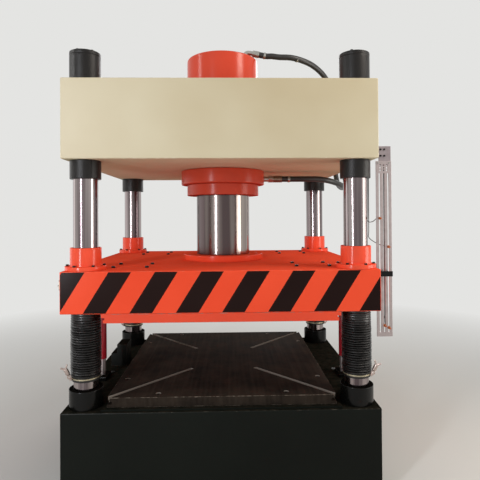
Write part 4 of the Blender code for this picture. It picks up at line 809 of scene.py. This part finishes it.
at, low, high = node_place("slide_side_cap")
side_cap_face = box_of("slide_side_cap")[1].x
lying = Matrix.Translation((side_cap_face, at[1], (low + high) / 2)) @ turned(-90, "Y")
boss_radius, boss_top, cap_radius, cap_top = 0.020, 0.020, 0.040, 0.012
piece("bolted_side_cap",
      moved(lathe([(0, boss_top), (boss_radius, boss_top), (boss_radius, cap_top),
                   (cap_radius, cap_top), (cap_radius, 0), (0, 0)], 0.0015, 48), lying),
      cream_enamel, "slide", ["slide_side_cap"])
cap_screws("side_cap_screws", "slide", 0.0045, 0.006, ring_of(6, 0.030, cap_top, 30), lying)


# A bronze-lined guide bush runs on each column, pushed into the slide and held by its flange
# with six socket head screws.
bush_bore, bush_neck, bush_flange, bush_body = 0.0755, 0.0945, 0.125, 0.098
bush_screw_circle = 0.1105
seat = slide_high.z + seat_gap
flange = seat + 0.025
bush_turns = {"left": 10, "right": -13}
for corner in corners:
    at, low, high = node_place(f"guide_bush_{corner}")
    piece(f"flanged_guide_bush_{corner}",
          lathe([(bush_bore, high), (bush_neck, high), (bush_neck, flange), (bush_flange, flange),
                 (bush_flange, seat), (bush_body, seat), (bush_body, low), (bush_bore, low)],
                0.0035),
          orange_enamel, "slide", [f"guide_bush_{corner}"], at)
    first = bush_turns[corner.split("_")[1]]
    cap_screws(f"guide_bush_screws_{corner}", "slide", 0.009, 0.010,
               ring_of(6, bush_screw_circle, flange, first), Matrix.Translation(at))


# A slotted steel strip beside the slide carries proximity sensors that an angle on the slide
# passes. It hangs by two screws from a plate that a block holds off the crown's side.
rail_low, rail_high = box_of("switch_rail")
rail_left, rail_front, rail_back, strip_top = 0.976, -0.704, -0.696, 2.0613
slot_pitch, hole_pitch, row_pitch, hole_level = 0.027, 0.021, 0.0163, rail_low.z + 1.0725
middle_x = (rail_left + rail_high.x) / 2


def through(x, half_width, bottom, top):
    """A tool for an upright opening right through the strip."""
    return bar((x - half_width, -0.75, bottom), (x + half_width, -0.65, top), 0)


slots = [through(middle_x + slot_pitch * column, 0.005, rail_low.z + 0.028, rail_low.z + 1.030)
         for column in (-1, 0, 1)]
hole_levels = [hole_level + row_pitch * row for row in (-1.5, -0.5, 0.5)]
holes = [through(middle_x + hole_pitch * column, 0.0045, level - 0.005, level + 0.005)
         for column in (-1, 0, 1) for level in hole_levels]
strip = cut(bar((rail_left, rail_front, rail_low.z), (rail_high.x, rail_back, strip_top), 0.0012),
            joined(*slots, *holes))
piece("slotted_rail_strip", strip, grey_steel, "frame", ["switch_rail"])

# Rolled plate left bare is darker and duller than the turned steel, with a purple cast.
dull_steel = mottled("dull_purple_grey_steel", "#B0A4A6", "#857A7D", 0.35, 0.55, metallic=0.9,
                     scale=24.0)
crown_side = crown_high.x + seat_gap
plate_front, plate_back = -0.6958, -0.6898
piece("rail_bracket",
      joined(bar((0.997, plate_front, 2.035), (1.074, plate_back, 2.157), 0.0012),
             bar((crown_side, plate_back, 2.086), (1.045, -0.652, 2.146), 0.002)),
      dull_steel, "frame")
rail_screw = lathe([(0, 0.0035), (0.0022, 0.0035, 6), (0.0022, 0.0050, 6), (0.0050, 0.0050),
                    (0.0050, 0), (0, 0)], 0.0006, 24)
piece("rail_screws",
      copies(rail_screw,
             standing([(x, rail_front - 0.0002, 2.050) for x in (0.9885, 1.0605)], forward)),
      zinc_plate, "frame")
cap_screws("rail_bracket_screws", "frame", 0.006, 0.006,
           standing([(x, rail_back, z) for x in (1.008, 1.032) for z in (2.096, 2.136)], forward))


# Each sensor is a threaded brass barrel with a nut on each side of the strip and a moulded face
# towards the angle. The leads of the upper two swing to the left and go up beside the column to
# the crown's side. The others join in the trunk lead behind the strip.

# Turned brass, red with age, has a warm metallic gleam. The moulded face is an orange-brown
# plastic without any. Hose rubber is smooth and black, with a soft greyish sheen.
sensor_brass = mottled("turned_sensor_brass", "#D08A5C", "#A86238", 0.25, 0.45, scale=200.0)
sensor_face = mottled("moulded_sensor_face", "#C96A3C", "#B25A30", 0.4, 0.5, metallic=0.0,
                      scale=200.0)
hose_rubber = mottled("smooth_hose_rubber", "#161514", "#2B2826", 0.3, 0.5, metallic=0.0,
                      scale=90.0)


def smooth_route(points, samples=8):
    """A smooth curve through the points, read at equal steps between each pair of them."""
    points = [Vector(point) for point in points]
    padded = [2 * points[0] - points[1], *points, 2 * points[-1] - points[-2]]
    route = []
    for before, start, end, after in zip(padded, padded[1:], padded[2:], padded[3:]):
        for step in range(samples):
            t = step / samples
            route.append(((-before + 3 * start - 3 * end + after) * t**3
                          + (2 * before - 5 * start + 4 * end - after) * t**2
                          + (end - before) * t + 2 * start) / 2)
    return [*route, points[-1]]


def tube(route, radius, sides=24):
    """A round tube swept along a route, closed at both ends."""
    shape = bmesh.new()
    rings = []
    across = (route[1] - route[0]).orthogonal()
    turns = [2 * math.pi * step / sides for step in range(sides)]
    for before, spot, after in zip([route[0], *route], route, [*route[1:], route[-1]]):
        along = (after - before).normalized()
        across = (across - along * across.dot(along)).normalized()
        third = along.cross(across)
        rings.append([shape.verts.new(spot + radius * (across * math.cos(t) + third * math.sin(t)))
                      for t in turns])
    for near, far in zip(rings, rings[1:]):
        for i in range(sides):
            j = (i + 1) % sides
            shape.faces.new((near[i], near[j], far[j], far[i]))
    shape.faces.new(rings[0])
    shape.faces.new(rings[-1])
    return shape


sensors = {}
for name in ("upper", "middle", "lower"):
    low, high = box_of(f"sensor_{name}")
    sensors[name] = Vector(((low.x + high.x) / 2, high.y, (low.z + high.z) / 2))
sensors["extra"] = Vector((1.025, sensors["lower"].y, 1.024))

# The sensor's outline runs from its face, over the thread and both nuts, to its tail.
crest, root, face_height, thread_pitch = 0.0046, 0.0041, 0.0650, 0.0015
nut_reach, nut_height = 0.0095, 0.005
sensor_outline = [(0, face_height), (0.0042, face_height)]
for thread in range(12):
    sensor_outline += [(crest, 0.0635 - thread_pitch * thread),
                       (root, 0.06275 - thread_pitch * thread)]
for nut_top in (0.0476, 0.0340):
    sensor_outline += [(crest, nut_top), (nut_reach, nut_top, 6),
                       (nut_reach, nut_top - nut_height, 6), (crest, nut_top - nut_height)]
sensor_outline += [(crest, 0.0060), (0.0036, 0.0040), (0.0036, 0), (0, 0)]

lead_radius, hang_y, lead_top = 0.0025, -0.500, 2.166
hang_places = {"upper": (0.9865, -0.020), "middle": (0.9925, 0.050)}
for name, tail in sensors.items():
    facing = Matrix.Translation(tail) @ forward
    piece(f"threaded_sensor_{name}", moved(lathe(sensor_outline, 0, 36), facing), sensor_brass,
          "frame", [] if name == "extra" else [f"sensor_{name}"])
    piece(f"sensor_face_{name}", moved(round_bar(0.0044, 0.0651, 0.0685, 0.0006, 24), facing),
          sensor_face, "frame")
    way = [tail + Vector((0, -0.004, 0))]
    if name == "extra":
        trunk = Vector((1.052, -0.6301, tail.z + 0.075))
        way += [tail + Vector((0, 0.010, 0.001)),
                tail * 0.6 + trunk * 0.4 + Vector((0, 0.008, -0.012)),
                trunk + Vector((0, 0, -0.020)), trunk + Vector((0, 0, 0.010))]
    elif name in hang_places:
        x, rise = hang_places[name]
        hang = Vector((x, hang_y, tail.z + rise))
        way += [tail + Vector((-0.002, 0.012, 0)),
                tail * 0.5 + hang * 0.5 - Vector((0, 0, 0.012)), hang,
                hang + Vector((-0.0005, 0, 0.060)), (x + 0.001, hang_y, 1.950),
                (x, hang_y, 2.130), (x - 0.004, hang_y, 2.158),
                (crown_side + 0.0002, hang_y, lead_top)]
    if len(way) > 1:
        piece(f"sensor_lead_{name}", tube(smooth_route(way), lead_radius, 12), hose_rubber,
              "frame")
repaint("sensor_lead", hose_rubber)


# The trigger is a black angle on the slide's right face with a bright steel pointer, which
# passes the sensors' faces.
trigger_low, trigger_high = box_of("switch_trigger")
arm_low = trigger_high.z - 0.032
arm_front, arm_back, leg_face = -0.7483, -0.7383, trigger_low.x + 0.008
piece("trigger_angle",
      joined(bar((trigger_low.x, arm_front, arm_low), (trigger_high.x, arm_back, trigger_high.z),
                 0.0012),
             bar((trigger_low.x, trigger_low.y, arm_low + 0.0002),
                 (leg_face, trigger_high.y, trigger_high.z - 0.0002), 0.0012)),
      black_enamel, "slide", ["switch_trigger"])
pointer = bar((1.0178, -0.7462, trigger_low.z), (1.0308, -0.7404, arm_low + 0.004), 0.001)
pointer_x, tip_width = 1.0243, 0.45
for vert in pointer.verts:
    if vert.co.z < arm_low - 0.02:
        vert.co.x = pointer_x + (vert.co.x - pointer_x) * tip_width
piece("trigger_pointer", pointer, grey_steel, "slide")
outward = turned(90, "Y")
cap_screws("trigger_screws", "slide", 0.006, 0.006,
           standing([(leg_face, -0.724, arm_low + 0.016)], outward))


# Two pressure hoses feed the cylinder: from the elbow on its end and from the fitting in its
# flange, round the crown's right side into the port block. Crimped ferrules hold their ends.

# Oiled steel that has begun to brown: metallic, with a soft warm highlight.
brown_steel = mottled("oiled_brown_steel", "#A08A78", "#6F5D50", 0.25, 0.45, scale=70.0)


def between(start, end):
    """The frame of a piece that is turned about the line between two points."""
    along = Vector(end) - Vector(start)
    lying_along = along.to_track_quat("Z", "Y").to_matrix().to_4x4()
    return Matrix.Translation(start) @ lying_along, along.length


def ferrule(start, end, radius, inner, crimps=4):
    """A crimped hose ferrule: a thin collar pressed inwards in rings over most of its length."""
    spot, length = between(start, end)
    outline = [(inner, length), (radius, length)]
    for crimp in range(crimps):
        level = length * (0.86 - 0.72 * crimp / (crimps - 1))
        outline += [(radius, level + 0.003), (radius - 0.0016, level + 0.0015),
                    (radius - 0.0016, level - 0.0015), (radius, level - 0.003)]
    outline += [(radius, 0), (inner, 0)]
    return moved(lathe(outline, 0, 48), spot)


def hexagon(start, end, radius, inner):
    """A nut between two points, with its corners chamfered round at both ends."""
    spot, length = between(start, end)
    outline = [(inner, length), (radius * 0.93, length), (radius, length - 0.0025, 6),
               (radius, 0.0025, 6), (radius * 0.93, 0), (inner, 0)]
    return moved(lathe(outline, 0, 72), spot)


def ring_on(start, end, radius, inner):
    """A plain turned ring between two points."""
    spot, length = between(start, end)
    return moved(round_bar(radius, 0, length, 0.0012, 48, inner), spot)


hose_radius, hose_seat, ring_outside = 0.0225, 0.0226, 0.0262
foot, elbow_x = box_of("top_port_elbow")[0].z, 0.175
bent = smooth_route([(x, 0, foot + rise) for x, rise in (
    (elbow_x, 0), (elbow_x, 0.020), (elbow_x, 0.042), (0.180, 0.063), (0.193, 0.076),
    (0.210, 0.0785), (0.228, 0.0755), (0.250, 0.0715))])
piece("elbow_tube",
      joined(tube(bent, 0.018, 32),
             hexagon((elbow_x, 0, foot), (elbow_x, 0, foot + 0.026), 0.030, 0.0181)),
      zinc_plate, "frame", ["top_port_elbow"])

# The top hose leaves the elbow on a slope of ten degrees.
slope_x, slope_z, fall = 0.239, foot + 0.0725, 0.175
slope = [Vector((x, 0, slope_z - (x - slope_x) * fall)) for x in (slope_x, 0.290, 0.3262, 0.342)]
piece("elbow_ferrule", ferrule(slope[0], slope[1], 0.0270, 0.0182), zinc_plate, "frame")
piece("elbow_hose_ring", ring_on(slope[2], slope[3], ring_outside, hose_seat), zinc_plate, "frame")

# Both hoses end at this place in plan, over and under the port block.
port_x, port_y = 1.035, 0.62
top_way = [slope[1] - Vector((0.012, 0, -0.0021)), slope[2]] + [
    (0.3503, 0, 2.9789), (0.3728, 0, 2.9789), (0.3953, 0, 2.9789), (0.4530, 0.0062, 2.9745),
    (0.5489, 0.0186, 2.9745), (0.6516, 0.0558, 2.9614), (0.7474, 0.1178, 2.9394),
    (0.8433, 0.1984, 2.8912), (0.9186, 0.31, 2.8342), (0.9802, 0.4278, 2.7641),
    (1.0213, 0.5456, 2.6852), (port_x, port_y, 2.5855), (port_x, port_y, 2.563),
    (port_x, port_y, 2.5405)]
piece("top_pressure_hose", tube(smooth_route(top_way), hose_radius), hose_rubber, "frame",
      ["top_hose"])
piece("hose_tie", ring_on((0.589, 0.0331, 2.9694), (0.599, 0.0367, 2.9681), 0.0243, 0.0215),
      zinc_plate, "frame")

port_z = 2.0097


def on_axis(x):
    """A place on the level axis of the flange's fitting, where the lower hose starts."""
    return x, 0, port_z


flange_side = box_of("flange_port")[0].x
piece("port_adapter",
      joined(ring_on(on_axis(flange_side), on_axis(0.358), 0.021, 0.008),
             hexagon(on_axis(0.356), on_axis(0.390), 0.030, 0.010),
             ring_on(on_axis(0.389), on_axis(0.397), 0.021, 0.008)),
      zinc_plate, "frame", ["flange_port"])
piece("port_ferrule", ferrule(on_axis(0.395), on_axis(0.462), 0.0268, 0.0190), brown_steel,
      "frame")
piece("port_hose_ring", ring_on(on_axis(0.509), on_axis(0.5262), ring_outside, hose_seat),
      zinc_plate, "frame")
lower_way = [on_axis(x) for x in (0.450, 0.490, 0.5286, 0.5511, 0.5736, 0.6400)] + [
    (0.7565, 0.0186, port_z), (0.8578, 0.0496, 1.9967), (0.9590, 0.1426, 1.9759),
    (1.0198, 0.2728, 1.9629), (port_x, 0.403, 1.9681), (port_x, 0.5084, 2.0045),
    (port_x, 0.589, 2.0956), (port_x, port_y, 2.2249), (port_x, port_y, 2.2474),
    (port_x, port_y, 2.2699)]
piece("lower_pressure_hose", tube(smooth_route(lower_way), hose_radius), hose_rubber, "frame",
      ["lower_hose"])
ferrule_spans = ((2.5405, 2.583), (2.2699, 2.2274))
piece("block_ferrules",
      joined(*(ferrule((port_x, port_y, near), (port_x, port_y, far), 0.0268, hose_seat, 3)
               for near, far in ferrule_spans)),
      brown_steel, "frame")


# The port block is milled from bar and screwed to the crown's side. A union nut on its top and
# one under it take the hoses.
port_high = box_of("port_block")[1]
port_low = Vector((crown_side, port_high.y - 0.160, 2.3102))
block_top = 2.5002

# Milled steel under a film of oil is a cool mid grey, a little duller than the turned rods.
block_steel = mottled("milled_block_steel", "#9A9691", "#77736E", 0.3, 0.5, scale=26.0)
nut_spans = ((2.5001, 2.5402), (2.3103, 2.2702))
piece("milled_port_block",
      joined(bar(port_low, (port_high.x, port_high.y, block_top), 0.003),
             *(hexagon((port_x, port_y, near), (port_x, port_y, far), 0.033, 0.010)
               for near, far in nut_spans)),
      block_steel, "frame", ["port_block"])
cap_screws("port_block_screws", "frame", 0.011, 0.011,
           standing([(port_high.x, y, z) for y in (port_low.y + 0.025, port_high.y - 0.025)
                     for z in (2.335, 2.475)], outward))
